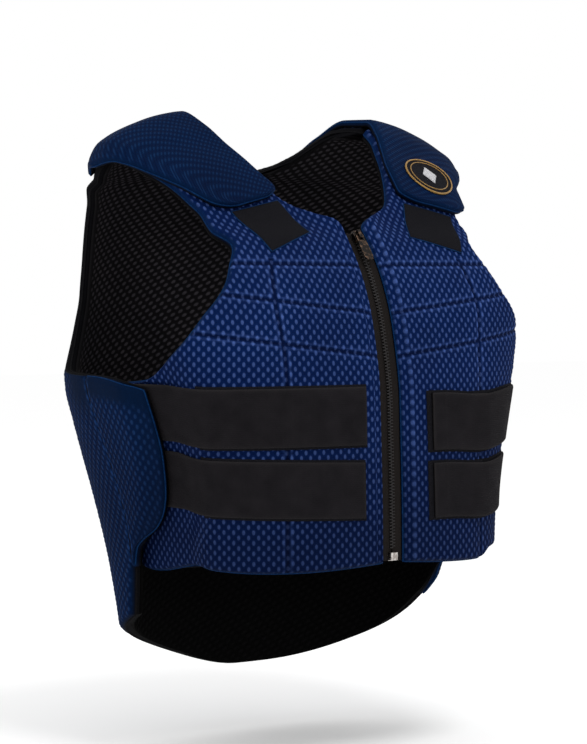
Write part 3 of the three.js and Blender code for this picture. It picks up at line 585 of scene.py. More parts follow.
def back_sink(p):
    """The back runs a little deeper where the shoulder flap is sewn over it."""
    rise = np.degrees(np.arctan2(p[..., 2] - fan_z, p[..., 1] - fan_y))
    return yoke_sink * smooth_step(*yoke_sink_turns, rise)


# The height at which each wing's seam starts.
wing_foot = {"right": 0.196 * height, "left": 0.02 * height}


def sewn_share(p):
    """1 beside a wing, which is sewn on, and 0 where the side is a free edge."""
    low = np.where(p[..., 0] < 0, wing_foot["right"], wing_foot["left"])
    z = p[..., 2]
    return smooth_step(low, low + 0.006, z) * (1 - smooth_step(foot_z - 0.004, foot_z + 0.002, z))


rim_drop = 0.005
rim_round = 0.007
seam_drop = 0.0008
seam_round = 0.003
seam_glow = 0.004
# Along a free edge the dots rise in this strip, and along the armhole in the wider one.
dots_rise = (0.001, 0.004)
armhole_dots_rise = (0.02, 0.045)
armhole_levels = (0.44 * height, 0.5 * height)
# The black edge is narrow round the tail and widens above the wings.
tail_rim = 0.0015
rim_widening = 0.005

back_points = smooth_sheet(back_lattice(), 0.0022)
back_u, back_v = cloth_places(back_points)
free_edge = edge_distance(back_points, "low", "high")
side_edge = edge_distance(back_points, "left", "right")
sewn = sewn_share(back_points)
fall = rounded_edge(free_edge, rim_drop, rim_round)
fall = np.maximum(fall, rounded_edge(side_edge, rim_drop, rim_round) * (1 - sewn))
fall = np.maximum(fall, rounded_edge(side_edge, seam_drop, seam_round) * sewn)
open_edge = np.minimum(free_edge, side_edge + 0.02 * sewn)
raised = smooth_step(*dots_rise, open_edge)
beside_armhole = smooth_step(*armhole_levels, back_points[..., 2])
raised = raised * (1 - beside_armhole * (1 - smooth_step(*armhole_dots_rise, side_edge)))
above_wing = smooth_step(foot_z - 0.02, foot_z, back_points[..., 2])
rim_width = tail_rim + rim_widening * above_wing
relief = nubs(back_u, back_v) * air_height * raised
back = padded_piece(
    "back_pad",
    back_points,
    relief - back_sink(back_points) - fall,
    -back_sink(back_points) - pad,
    raised=raised,
    # Painted highlight: half a seam value paints the dots along the wing's seam brighter.
    seam=0.5 * sewn * np.exp(-((side_edge / seam_glow) ** 2)),
    bound=1 - smooth_step(0.5, 1.2, open_edge / rim_width),
)
dressed(back, shaded_side_blue)
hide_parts("back_panel")
back_rim = rim_path(back_points, -back_sink(back_points) - fall - 0.0004)
edge_cord("back_edging", back_rim, 0.0009, edging_black)

# The side wings
# Two softer pads of the same mesh, sewn to the back. Each reaches round the waist to the front
# and thins out towards its front edge, which lies on the straps.
both_sides = (("right", -1), ("left", 1))
wing_rows = {
    "right": (
        (0.192, 88.6, 0.196, 89.2, 1.0),
        (0.212, 88.8, 0.228, 91.2, 1.2),
        (0.232, 88.8, 0.245, 94.6, 1.4),
        (0.256, 88.6, 0.262, 99.0, 1.6),
        (0.284, 88.2, 0.29, 103.2, 1.8),
    ),
    "left": (
        (0.1004, 88, 0.164, 98.5, 1.2),
        (0.15, 88, 0.202, 100, 1.2),
        (0.19, 88, 0.226, 101, 1.2),
        (0.228, 88, 0.256, 102, 1.4),
        (0.262, 88, 0.282, 103.4, 1.6),
    ),
}
wing_top_rows = (
    (0.318, 87.2, 0.318, 105, 1.8),
    (0.36, 86.2, 0.356, 106, 2.0),
    (0.404, 85.2, 0.402, 106.4, 2.2),
    (0.448, 84.6, 0.442, 105.7, 2.2),
    (0.48, 84.4, 0.466, 105.2, 2.2),
    (0.502, 84.3, 0.483, 104.8, 2.2),
    (0.5235, 84.2, 0.499, 104.4, 2.2),
)
ridge_gap = 0.12
wing_thinning = 0.0062
wing_turn_in = 0.0028
wing_edge_reach = 0.03
wing_top_band = (0.012, 0.024)
wing_swell = 0.0012
wing_rim_drop = 0.0026
wing_rim_round = 0.0045

edging_blue = grained_material(
    "edging_blue", (0.0004, 0.009, 0.040), (0.002, 0.022, 0.078),
    roughness=0.75, scale=700.0, depth=0.0003,
)


def wing_lattice(side, sign):
    shares = np.linspace(0, 1, 9)
    rows = []
    for ridge_z, ridge, edge_z, edge, bow in wing_rows[side] + wing_top_rows:
        z = height * (ridge_z + (edge_z - ridge_z) * shares**bow)
        start = ridge + ridge_gap
        rows.append(at_angle(z, sign * (180 - start - (edge - start) * shares)))
    return np.array(rows)


def wing_offsets(points):
    """How high the wing's faces lie: it thins out and turns in towards its front edge."""
    wide = lengths_along(points, 1)[:, -1:]
    share = 1 - smooth_step(0, wing_edge_reach, edge_distance(points, "right"))
    share = share * smooth_step(0.004, 0.035, wide)
    return -wing_thinning * share**1.3, -pad - wing_turn_in * share


def side_wing(side, sign):
    points = smooth_sheet(wing_lattice(side, sign), 0.0015)
    around = np.arctan2(np.abs(points[..., 0]), -points[..., 1])
    u, v = half_width * around, points[..., 2]
    ridge = edge_distance(points, "left")
    free = edge_distance(points, "low", "high", "right")
    top = edge_distance(points, "high")
    outer, inner = wing_offsets(points)
    raised = smooth_step(0.0005, 0.003, free) * smooth_step(*wing_top_band, top)
    raised = raised * (0.55 + 0.45 * smooth_step(0.004, 0.03, edge_distance(points, "right")))
    # Painted highlight: the dots along the seam to the back are painted brighter.
    ridge_glint = 0.5 * np.exp(-((ridge / seam_glow) ** 2))
    swell = wing_swell * smooth_step(0.002, 0.02, ridge) * smooth_step(0.004, 0.03, free)
    fall = rounded_edge(free, wing_rim_drop, wing_rim_round)
    fall = fall + rounded_edge(ridge, seam_drop, seam_round)
    relief = nubs(u, v) * air_height * raised
    out = relief + swell + outer - fall
    piece = padded_piece(
        f"wing_pad_{side}", points, out, inner, places=(u, v), raised=raised, seam=ridge_glint,
        bound=np.zeros(u.shape),
    )
    dressed(piece, shaded_side_blue)
    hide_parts("back_panel")
    rim = points + outward(points) * (outer - 0.003)[..., None]
    foot = rim[0] if side == "left" else rim[:1, -1]
    path = np.concatenate([foot, rim[1:, -1], rim[-1, -2::-1]])
    edge_cord(f"wing_edging_{side}", path, 0.0008, edging_blue, closed=False)


for side, sign in both_sides:
    side_wing(side, sign)

# The front panels
# Two foam pads, from the hem over the chest and up to the shoulder seam. The foam is quilted in
# blocks, so that it bends over the chest, and a flat border carries the zip.
front_rows = (
    (0.206, 0.228, 98),
    (0.28, 0.288, 98),
    (0.334, 0.338, 98),
    (0.388, 0.392, 98),
    (0.456, 0.456, 98),
    (0.502, 0.498, 93),
    (0.514, 0.514, 77),
    (0.532, 0.544, 69),
    (0.56, 0.59, 61),
    (0.598, 0.626, 56.8),
    (0.634, 0.662, 53),
    (0.676, 0.685, 51.4),
    (0.716, 0.718, 50.6),
    (0.758, 0.754, 50.6),
    (0.784, 0.782, 56),
)
tab_rows = (
    (0.155, 3, 0.715, 3),
    (0.285, 11, 0.745, 12),
    (0.345, 23, 0.785, 25),
    (0.395, 38, 0.84, 41),
    (0.44, 55, 0.895, 58),
    (0.48, 74, 0.93, 75),
    (0.51, 89.5, 0.9425, 89.5),
)
zip_half = 0.0115
hem_sag = 0.009
# How deep the front lies below the wing, between which turns the wing starts to cover it, and
# the heights between which that ends. Then the same below the flap, by x.
wing_sink = 0.0182
wing_cover = (56, 71)
wing_cover_top = (0.49 * height, 0.61 * height)
flap_sink = 0.007
flap_cover = (0.07 * half_width, 0.23 * half_width)
# The chest tabs sink and thin out below the flaps between these heights.
tab_fade = (0.752 * height, 0.806 * height)
tab_thinning = 0.002
# The borders beside the zip and their stitched ridges fade out between these heights.
chest_top = (0.78 * height, 0.8 * height)
ridge_from_edge = 0.0095
ridge_half = 0.0016
border_drop = 0.0026
border_reach = (0.0075, 0.0105)
front_round = 0.0045
front_rim_drop = 0.0045
zip_rim_drop = 0.0052
# Quilting seams by height at the zip and at the armhole, and the upright seam's angle by height.
quilt_seams = ((0.56, 0.59), (0.634, 0.662), (0.716, 0.718))
upright_z = np.array((0.2, 0.51, 0.57, 0.64, 0.73)) * height
upright_angle = (37.5, 37.5, 38, 39.5, 40.5)
quilt_dip = 0.0012
quilt_dip_half = 0.0015
quilt_shade_half = 0.0032
quilt_puff = 0.0006
# The folds beside the wing: the middle of their patch, their depth and their pitch.
fold_turn = 63
fold_z = 0.265 * height
fold_depth = 0.0008
fold_pitch = 0.0075
mesh_blue = knit_material(
    "air_mesh_blue",
    air_pitch,
    air_dot,
    shaded_hole=(0.0002, 0.0035, 0.026),
    ground=(0.0005, 0.0075, 0.048),
    lit_dot=(0.027, 0.052, 0.160),
    plain=(0.0006, 0.0095, 0.046),
)


def angle_of_x(x, z):
    power = form_at("front_power", z)
    room = np.maximum(0, 1 - (np.abs(x) / form_at("half", z)) ** power) ** (1 / power)
    return np.degrees(np.arctan2(x, form_at("front", z) * room))


def hem_lift(degrees, sign):
    """How far the hem lies above its rows, in heights: a step on the left, a droop on the right."""
    if sign > 0:
        return 0.014 * smooth_step(38, 40.5, degrees)
    return -0.042 * smooth_step(60, 95, degrees)


def front_lattice(sign):
    shares = np.linspace(0, 1, 15)
    sags = spline((0, 1, 2, 3, 14), (1, 0.55, 0.15, 0, 0), np.arange(len(front_rows)))
    rows = []
    for (inner_z, outer_z, angle), sag in zip(front_rows, sags):
        first = angle_of_x(zip_half, inner_z * height)
        z = height * (inner_z + (outer_z - inner_z) * shares) - sag * hem_sag * np.sin(math.pi * shares)
        turns = first + (angle - first) * shares
        if not rows:
            z = z + height * hem_lift(turns, sign)
        rows.append(at_angle(z, sign * turns))
    for neck, neck_turn, arm, arm_turn in tab_rows:
        x = half_width * (neck + (arm - neck) * shares)
        rows.append(at_fan(sign * x, neck_turn + (arm_turn - neck_turn) * shares))
    return np.array(rows)


def front_angle(p):
    return np.degrees(np.abs(np.arctan2(p[..., 0], form_at("mid", p[..., 2]) - p[..., 1])))


def front_sink(p):
    """The front lies deeper below the wing and below the shoulder flap."""
    below = 1 - smooth_step(*wing_cover_top, p[..., 2])
    wing = wing_sink * smooth_step(*wing_cover, front_angle(p)) * below
    over = smooth_step(*tab_fade, p[..., 2])
    flap = flap_sink * over * smooth_step(*flap_cover, np.abs(p[..., 0]))
    return wing + flap


def seam_distance(points, u):
    """How far each point is from the nearest seam: three level ones and one upright one."""
    z = points[..., 2]
    far = np.full(z.shape, 1.0)
    for inner_z, outer_z in quilt_seams:
        line = height * (inner_z + (outer_z - inner_z) * (u - zip_half) / 0.13)
        far = np.minimum(far, np.abs(z - line))
    off = np.abs(front_angle(points) - np.interp(z, upright_z, upright_angle))
    reach = np.hypot(points[..., 0], points[..., 1])
    above = smooth_step(0.728 * height, 0.735 * height, z)
    return np.minimum(far, np.radians(off) * reach + above)


def pull_folds(points):
    """Slight folds that the straps pull in the mesh, low beside the wing."""
    angle = front_angle(points)
    z = points[..., 2]
    where = np.exp(-(((angle - fold_turn) / 6) ** 2) - ((z - fold_z) / 0.022) ** 2)
    return fold_depth * where * np.sin(2 * math.pi * (z - 0.0022 * angle) / fold_pitch)


def front_panel(side, sign):
    points = smooth_sheet(front_lattice(sign), 0.0014)
    u, v = cloth_places(points)
    edge = edge_distance(points, "right", "low", "high")
    zip_edge = edge_distance(points, "left")
    chest = 1 - smooth_step(*chest_top, points[..., 2])
    far = seam_distance(points, u)
    dip = np.exp(-((far / quilt_dip_half) ** 2))
    # Painted light: near a quilting seam the dots are painted brighter, and the seam's middle darker
    # for its shade.
    seam = np.exp(-((far / quilt_shade_half) ** 2))
    ridge = np.exp(-(((zip_edge - ridge_from_edge) / ridge_half) ** 2)) * chest
    border = (1 - smooth_step(*border_reach, zip_edge)) * chest
    raised = smooth_step(0.0005, 0.0025, np.minimum(edge, zip_edge + 0.001))
    puff = quilt_puff * smooth_step(0.001, 0.016, far) * (1 - border) + 0.0004 * ridge
    relief = nubs(u, v) * air_height * raised * (1 - 0.75 * dip) * (1 - 0.4 * border)
    sink = front_sink(points)
    fall = rounded_edge(edge, front_rim_drop, front_round)
    fall = np.maximum(fall, rounded_edge(zip_edge, zip_rim_drop, front_round))
    fall = np.maximum(fall, border_drop * border)
    out = relief + puff + pull_folds(points) - sink - np.maximum(fall, quilt_dip * dip)
    thin = tab_thinning * smooth_step(*tab_fade, points[..., 2])
    # Painted highlight: the ridge beside the zip gets a row of brighter dots.
    seam = np.maximum(seam, 0.35 * ridge)
    piece = padded_piece(
        f"front_pad_{side}", points, out, -sink - pad + thin, raised=raised, seam=seam,
        bound=np.zeros(u.shape),
    )
    dressed(piece, mesh_blue)
    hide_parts(f"front_panel_{side}")
    rim = rim_path(points, -sink - fall - 0.0002)
    edge_cord(f"front_edging_{side}", rim, 0.0008, edging_blue)


for side, sign in both_sides:
    front_panel(side, sign)

# The linings
# Black spacer mesh that backs each pad, seen through the neck, the armholes and the hem. Its dots
# stand in slanting ribs.
lining_thick = 0.0027
lining_pitch = (0.0092, 0.0104)
lining_dot = (0.0040, 0.0022)
lining_slant = -0.35
lining_height = 0.0008
lining_gap = 0.0004
lining_black = knit_material(
    "lining_mesh_black",
    lining_pitch,
    lining_dot,
    shaded_hole=(0.0006, 0.0006, 0.0008),
    ground=(0.0042, 0.0038, 0.0046),
    lit_dot=(0.032, 0.029, 0.034),
    plain=(0.0036, 0.0034, 0.004),
    slant=lining_slant,
    # The painted shade leaves the lining nearly black near the hem.
    low=0.04,
)


def lining(name, points, depth, thick=lining_thick):
    u, v = cloth_places(points)
    raised = smooth_step(0.001, 0.004, edge_distance(points))
    relief = nubs(u, v + lining_slant * u, lining_pitch, lining_dot) * lining_height * raised
    top = -depth - thick - relief
    piece = padded_piece(
        name, points, top, -depth, inner_columns=60, raised=raised, seam=np.zeros(u.shape)
    )
    return dressed(piece, lining_black)


back_inside = smooth_sheet(back_lattice(), 0.0026)
piece = lining("back_lining_mesh", back_inside, back_sink(back_inside) + pad + lining_gap)
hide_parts("back_lining")
for side, sign in both_sides:
    inside = smooth_sheet(wing_lattice(side, sign), 0.003)
    thick = 0.0004 + 0.0023 * smooth_step(0.004, 0.03, edge_distance(inside, "right"))
    piece = lining(f"wing_lining_mesh_{side}", inside, -wing_offsets(inside)[1] + 0.0003, thick)
    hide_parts("back_lining")
    inside = smooth_sheet(front_lattice(sign), 0.0026)
    thin = tab_thinning * smooth_step(*tab_fade, inside[..., 2])
    depth = front_sink(inside) - thin + pad + lining_gap
    piece = lining(f"front_lining_mesh_{side}", inside, depth)
    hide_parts(f"front_lining_{side}")

# The shoulder flaps
# A padded flap in a finer mesh on each shoulder. It is sewn down behind, runs over the shoulder
# seam and grips a patch on the chest with its front end.
flap_rows = (
    (137, 137, 0.28, 0.9),
    (131, 131, 0.32, 0.915),
    (120, 120, 0.38, 0.937),
    (104, 104, 0.46, 0.96),
    (90, 88, 0.51, 0.96),
    (74, 70, 0.4775, 0.95),
    (56, 52, 0.435, 0.917),
    (40, 36, 0.395, 0.862),
)
flap_ends = {
    "right": ((26, 20, 0.36, 0.768), (16.5, 7, 0.33, 0.665), (12, 4, 0.35, 0.61)),
    "left": ((26, 20, 0.375, 0.77), (16.5, 7, 0.365, 0.755), (11, 3.5, 0.4, 0.715)),
}
flap_pitch = (0.0064, 0.0056)
flap_dot = (0.0016, 0.0015)
flap_top = 0.0024
flap_under = -0.0048
flap_edge_drop = 0.0036
flap_edge_round = 0.005
flap_foot_drop = 0.0028
flap_hem = 0.0055
flap_hem_half = 0.0011
flap_blue = knit_material(
    "flap_mesh_blue",
    flap_pitch,
    flap_dot,
    shaded_hole=(0.0002, 0.0035, 0.020),
    ground=(0.0002, 0.0060, 0.029),
    lit_dot=(0.0022, 0.0145, 0.052),
    plain=(0.0001, 0.0068, 0.030),
    depth=0.0003,
)


def rounded_corners(points, radius):
    """Draws in the last rows of a grid, so that its end has two round corners."""
    rise = lengths_along(points, 0).mean(axis=1)
    rows = []
    for row, left in zip(points, rise[-1] - rise):
        run = lengths_along(row[None], 1)[0]
        near = min(1.0, max(0.0, 1 - left / radius))
        inset = radius * (1 - math.sqrt(1 - near * near))
        rows.append(spline(run, row, np.linspace(inset, run[-1] - inset, len(run)), held=True))
    return np.array(rows)


def flap_points(side, sign, step):
    shares = np.linspace(0, 1, 11)
    rows = []
    for neck_turn, arm_turn, neck, arm in flap_rows + flap_ends[side]:
        x = sign * half_width * (neck + (arm - neck) * shares)
        rows.append(at_fan(x, neck_turn + (arm_turn - neck_turn) * shares))
    return rounded_corners(smooth_sheet(np.array(rows), step), 0.011)


def shoulder_flap(side, sign):
    points = flap_points(side, sign, 0.0014)
    places = (np.abs(points[..., 0]), lengths_along(points, 0))
    edge = edge_distance(points)
    behind = edge_distance(points, "low")
    raised = smooth_step(0.0005, 0.004, edge)
    hem = np.exp(-(((edge - flap_hem) / flap_hem_half) ** 2))
    top = flap_top - flap_foot_drop * (1 - smooth_step(0, 0.03, behind)) - 0.0003 * hem
    out = top - rounded_edge(edge, flap_edge_drop, flap_edge_round)
    low = np.full(out.shape, flap_under)
    # Painted highlight: the hem line's small seam value paints its dots slightly brighter.
    piece = padded_piece(
        f"flap_pad_{side}", points, out, low, places=places, raised=raised, seam=0.2 * hem,
        bound=np.zeros(out.shape),
    )
    dressed(piece, flap_blue)
    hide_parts(f"shoulder_flap_{side}")
    rim = rim_path(points, top - flap_edge_drop)
    edge_cord(f"flap_edging_{side}", rim, 0.0007, edging_blue)


for side, sign in both_sides:
    shoulder_flap(side, sign)

# The hook and loop patches
# Short black loop pile, sewn flat on the chest below each shoulder flap and on the waist below
# each strap.
chest_corners = {
    "right": ((0.26, 0.772), (0.505, 0.736), (0.59, 0.812), (0.33, 0.834)),
    "left": ((0.28, 0.764), (0.55, 0.736), (0.65, 0.81), (0.375, 0.834)),
}
# For each band: the inner ends of its patch and its strap as shares of the half width, and its
# middle height at its inner and its outer end.
waist_bands = {
    ("right", "upper"): (0.153, 0.1625, 0.459, 0.459),
    ("right", "lower"): (0.165, 0.1775, 0.333, 0.345),
    ("left", "upper"): (0.18, 0.205, 0.445, 0.454),
    ("left", "lower"): (0.18, 0.205, 0.326, 0.335),
}
band_width = {"upper": 0.0495, "lower": 0.0475}
patch_end = 60
strap_end = 82
band_turn = 74
# The left straps hang slightly in a bow, with a crease where they leave their patches.
bow_dip = {"right": 0.0, "left": 0.0042}
bow_turn = 37
bow_half = 11
crease_angle = 39
crease_half = 14
crease_lift = {"right": 0.0, "left": 0.0026}
# Heights of the upper and the lower face above the front pad.
chest_patch_faces = (0.0026, 0.0006)
waist_patch_faces = (0.0019, 0.0005)
strap_faces = (0.0041, 0.0024)
patch_margin = 0.004
soft_edge = 0.0012

loop_black = grained_material(
    "loop_pile_black", (0.0032, 0.0032, 0.0042), (0.0100, 0.0098, 0.0125),
    roughness=0.95, scale=1600.0, depth=0.0007,
)


def front_surface(x, z, sign):
    """A place on the front by x and height, straight ahead of the trunk's middle plane."""
    return at_angle(z, sign * angle_of_x(x, z))


def sheet_piece(name, points, top, under, material):
    """A closed flat piece of cloth on the front, with soft edges."""
    edge = edge_distance(points)
    soft = rounded_edge(edge, 0.4 * (top.max() - under.max()), soft_edge)
    piece = padded_piece(
        name, points, top - soft, under, inner_columns=40, edge=np.exp(-edge / soft_edge)
    )
    dressed(piece, material)
    return piece


def band_points(side, sign, level, share_x, end, width, step):
    """A level band round the waist, from the zip's side to its end below the wing."""
    inner_z, outer_z = waist_bands[side, level][2:]
    first = angle_of_x(share_x * half_width, inner_z * height)
    angle = np.linspace(first, end, 41)
    middle = height * np.interp(angle, (first, band_turn), (inner_z, outer_z))
    middle = middle - bow_dip[side] * np.exp(-(((angle - bow_turn) / bow_half) ** 2))
    rows = [at_angle(middle + share * width, sign * angle) for share in np.linspace(-0.5, 0.5, 7)]
    return smooth_sheet(np.array(rows), step)


for side, sign in both_sides:
    corners = np.array(chest_corners[side]) * (half_width, height)
    shares = np.linspace(0, 1, 9)
    rows = []
    for up in shares:
        near = corners[0] + (corners[3] - corners[0]) * up
        off = corners[1] + (corners[2] - corners[1]) * up
        spots = near + (off - near) * shares[:, None]
        rows.append(front_surface(spots[:, 0], spots[:, 1], sign))
    points = smooth_sheet(np.array(rows), 0.0016)
    sink = front_sink(points)
    top, under = (face - sink for face in chest_patch_faces)
    piece = sheet_piece(
        f"chest_loop_{side}", points, top, under, loop_black
    )
    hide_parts(f"chest_patch_{side}")
    # Painted highlight: a thin blue cord round the patch stands in for the light caught along its edge.
    rim = rim_path(points, 0.0014 - sink)
    edge_cord(f"chest_loop_edging_{side}", rim, 0.0006, edging_blue)
    for level in ("upper", "lower"):
        width = band_width[level] + patch_margin
        points = band_points(side, sign, level, waist_bands[side, level][0], patch_end, width, 0.002)
        sink = front_sink(points)
        top, under = (face - sink for face in waist_patch_faces)
        piece = sheet_piece(
            f"waist_loop_{level}_{side}", points, top, under, loop_black
        )
        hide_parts(f"waist_patch_{level}_{side}")

# The elastic straps
# Wide black elastic that comes from under each wing, passes over the front and grips the waist
# patches. Fine ribs run across it, and its end is folded and stitched.


def wave(tree, length, pitch):
    """A wave along a length of the cloth, once up and down in each pitch."""
    return worked(tree, "SINE", worked(tree, "MULTIPLY", length, 2 * math.pi / pitch))


elastic_black, elastic_shader = new_material("elastic_black", (0.0084, 0.0076, 0.0090), 0.85)
elastic_tree = elastic_black.node_tree
along, across = cloth_axes(elastic_tree)
rib_pitch = 0.0011
cord_pitch = 0.0017
ribs = wave(elastic_tree, along, rib_pitch)
cords = wave(elastic_tree, across, cord_pitch)
weave = worked(elastic_tree, "MULTIPLY_ADD", cords, 0.5, ribs)
fuzz = noise(elastic_tree, 60.0, 4.0)
worn = ramp(elastic_tree, fuzz, (0.3, (0.0070, 0.0063, 0.0075)), (0.7, (0.0105, 0.0094, 0.0110)))
# The strap is lighter along its edges.
lighter_edges = mixed(elastic_tree, marked(elastic_tree, "edge"), worn, (0.017, 0.0155, 0.0165))
elastic_tree.links.new(lighter_edges, elastic_shader.inputs["Base Color"])
bumped(elastic_tree, elastic_shader, weave, 0.00012)

# The folded end: its height, the stretch in which it ends and its row of stitches.
end_fold = 0.0008
end_fold_reach = (0.014, 0.016)
end_stitch = 0.0125

for (side, level), band in waist_bands.items():
    sign = dict(both_sides)[side]
    points = band_points(side, sign, level, band[1], strap_end, band_width[level], 0.0017)
    sink = front_sink(points)
    end = edge_distance(points, "left")
    fold = end_fold * (1 - smooth_step(*end_fold_reach, end))
    stitch = 0.0005 * np.exp(-(((end - end_stitch) / 0.0008) ** 2))
    bent = np.maximum(0, 1 - np.abs(front_angle(points) - crease_angle) / crease_half)
    lift = crease_lift[side] * bent
    top, under = (face - sink + lift for face in strap_faces)
    piece = sheet_piece(
        f"elastic_strap_{level}_{side}", points, top + fold - stitch, under, elastic_black,
    )
    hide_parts(f"waist_strap_{level}_{side}")

# The zip
# A separating zip with moulded teeth. Its woven tapes are sewn under the borders, and a pressed
# metal box holds its foot.
tape_inner = 0.0006
tape_outer = 0.0112
tape_face = -0.0066
tape_thick = 0.0014
zip_low = 0.104
zip_high = 0.389
teeth_low = 0.116
tooth_pitch = 0.0027
tooth_size = (0.0036, 0.0012, 0.0030)
tooth_x = 0.0011
tooth_out = -0.0064

tape_black, tape_shader = new_material("zip_tape_black", (0.011, 0.009, 0.0085), 0.8)
tape_tree = tape_black.node_tree
across, along = cloth_axes(tape_tree)
tape_rows = wave(tape_tree, along, 0.0009)
tape_lines = wave(tape_tree, across, 0.0016)
twill = worked(tape_tree, "MULTIPLY_ADD", tape_lines, 0.8, tape_rows)
tape_tone = ramp(tape_tree, twill, (0.0, (0.009, 0.0075, 0.007)), (1.0, (0.017, 0.0145, 0.0135)))
tape_tree.links.new(tape_tone, tape_shader.inputs["Base Color"])
bumped(tape_tree, tape_shader, twill, 0.0001)

for side, sign in both_sides:
    z = np.linspace(zip_low, zip_high, 40)
    x = np.linspace(tape_inner, tape_outer, 5)
    points = smooth_sheet(front_surface(x[None], z[:, None], sign), 0.0013)
    out = np.full(points.shape[:2], tape_face)
    piece = padded_piece(f"zip_tape_cloth_{side}", points, out, out - tape_thick, inner_columns=4)
    dressed(piece, tape_black)
    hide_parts(f"zip_tape_{side}")

teeth_black = grained_material(
    "moulded_teeth_black", (0.008, 0.007, 0.007), (0.02, 0.018, 0.018),
    roughness=0.55, scale=500.0, depth=0.0001, detail=2.0, specular=0.2,
)


def zip_frame(z, x=0.0, out=0.0):
    """A frame on the zip's line: x across, y up along the zip and z out of the vest."""
    low, spot, high = (at_angle(np.array(z + step), 0.0) for step in (-0.004, 0, 0.004))
    up = Vector(high - low).normalized()
    across = Vector((1, 0, 0))
    ahead = across.cross(up).normalized()
    place = Vector(spot - seat) + across * x + ahead * out
    return Matrix((across, up, ahead)).transposed().to_4x4(), place


bm = bmesh.new()
size = Matrix.Diagonal((*tooth_size, 1))
for i in range(round((zip_high - teeth_low) / tooth_pitch)):
    for sign in (-1, 1):
        z = teeth_low + (i + 0.25 * sign) * tooth_pitch
        turn, place = zip_frame(z, sign * tooth_x, tooth_out)
        bmesh.ops.create_cube(bm, size=1.0, matrix=Matrix.Translation(place) @ turn @ size)
bmesh.ops.bevel(
    bm, geom=list(bm.edges), offset=0.0003, offset_type="OFFSET", segments=1, profile=0.5,
    affect="EDGES", material=-1,
)
teeth_mesh = bpy.data.meshes.new("zip_teeth_rows")
bm.to_mesh(teeth_mesh)
bm.free()
teeth = bpy.data.objects.new("zip_teeth_rows", teeth_mesh)
bpy.context.scene.collection.objects.link(teeth)
dressed(teeth, teeth_black)
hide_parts("zip_teeth")

# The zip's metal
# A cast slider with its bridge and hanging pull in worn black lacquer, flecked with bright copper that
# is partly wear and partly painted highlight, and the bright box at the foot. Each is the real size,
# with its edges broken.


def metal_material(name, deep, bright, roughness):
    material, shader = new_material(name, bright, roughness, metallic=1.0, specular=0.5)
    tree = material.node_tree
    wear_and_glints = noise(tree, 320.0, 5.0)
    # The bright flecks are partly wear and partly painted highlight.
    tone = ramp(tree, wear_and_glints, (0.46, deep), (0.72, bright))
    tree.links.new(tone, shader.inputs["Base Color"])
    bumped(tree, shader, wear_and_glints, 0.00015)
    return material


lacquer_black = metal_material("lacquered_metal", (0.014, 0.012, 0.011), (0.14, 0.085, 0.055), 0.38)
tin_bright = metal_material("bright_tin", (0.30, 0.27, 0.25), (0.85, 0.82, 0.78), 0.22)


def eased_metal(node, name, material, body, ease):
    """The same solid with its edges broken by a small round."""
    bm = bmesh.new()
    bm.from_mesh(nodes[node].data)
    bmesh.ops.remove_doubles(bm, verts=bm.verts, dist=0.00002)
    bmesh.ops.dissolve_limit(bm, angle_limit=0.02, verts=bm.verts, edges=bm.edges)
    sharp = [e for e in bm.edges if e.is_manifold and e.calc_face_angle() > 0.4]
    bmesh.ops.bevel(
        bm, geom=sharp, offset=ease, offset_type="OFFSET", segments=2, profile=0.5,
        affect="EDGES", material=-1, clamp_overlap=True,
    )
    mesh = bpy.data.meshes.new(name)
    bm.to_mesh(mesh)
    bm.free()
    piece = bpy.data.objects.new(name, mesh)
    bpy.context.scene.collection.objects.link(piece)
    dressed(piece, material, body)
    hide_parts(node)


eased_metal("zip_slider", "slider_body", lacquer_black, "vest", 0.0005)
eased_metal("slider_bridge", "slider_loop", lacquer_black, "vest", 0.0003)
eased_metal("zip_pull", "pull_tab", lacquer_black, "pull", 0.0003)
eased_metal("zip_stop", "foot_box", tin_bright, "vest", 0.0005)

# The badge
# A plain woven patch on the left flap, with a stitched gold rim. It holds one pale diamond and no
# writing.
badge_x = 0.6 * half_width
badge_turn = 29.5
badge_half_x = 0.027
badge_half_turn = 16.0
badge_top = 0.0038
badge_thick = 0.0014
# The gold lines: their share of the badge, how high they lie and their radius.
gold_lines = (("badge_rim", 0.97, -0.0002, 0.0009), ("badge_inner_line", 0.78, 0.0, 0.0005))
# The diamond as shares of the badge.
diamond_half = (0.16, 0.24)
diamond_lift = 0.0007
diamond_thick = 0.0008
badge_black, badge_shader = new_material("badge_cloth_black", (0.006, 0.006, 0.008), 0.7)
badge_tree = badge_black.node_tree
across, along = cloth_axes(badge_tree)
slope = worked(badge_tree, "ADD", across, along)
threads = wave(badge_tree, slope, 0.0009)
badge_tone = ramp(badge_tree, threads, (0.0, (0.004, 0.004, 0.006)), (1.0, (0.012, 0.012, 0.016)))
badge_tree.links.new(badge_tone, badge_shader.inputs["Base Color"])
bumped(badge_tree, badge_shader, threads, 0.00012)


def thread_material(name, deep, bright):
    material, shader = new_material(name, bright, 0.45, specular=0.5)
    tree = material.node_tree
    place = tree.nodes.new("ShaderNodeTexCoord").outputs["Object"]
    split = node_fed(tree, "ShaderNodeSeparateXYZ", {0: place})
    run = worked(tree, "ADD", split.outputs[0], split.outputs[2])
    strands = wave(tree, run, 0.0008)
    tree.links.new(ramp(tree, strands, (0.0, deep), (1.0, bright)), shader.inputs["Base Color"])
    bumped(tree, shader, strands, 0.0002)
    return material


gold_thread = thread_material("gold_thread", (0.22, 0.11, 0.02), (0.62, 0.36, 0.08))
pale_thread = thread_material("pale_thread", (0.38, 0.38, 0.40), (0.85, 0.85, 0.88))


def badge_spot(across, up):
    """A place on the badge, from its middle, as shares of its half width and half height."""
    return at_fan(badge_x + badge_half_x * across, badge_turn + badge_half_turn * up)


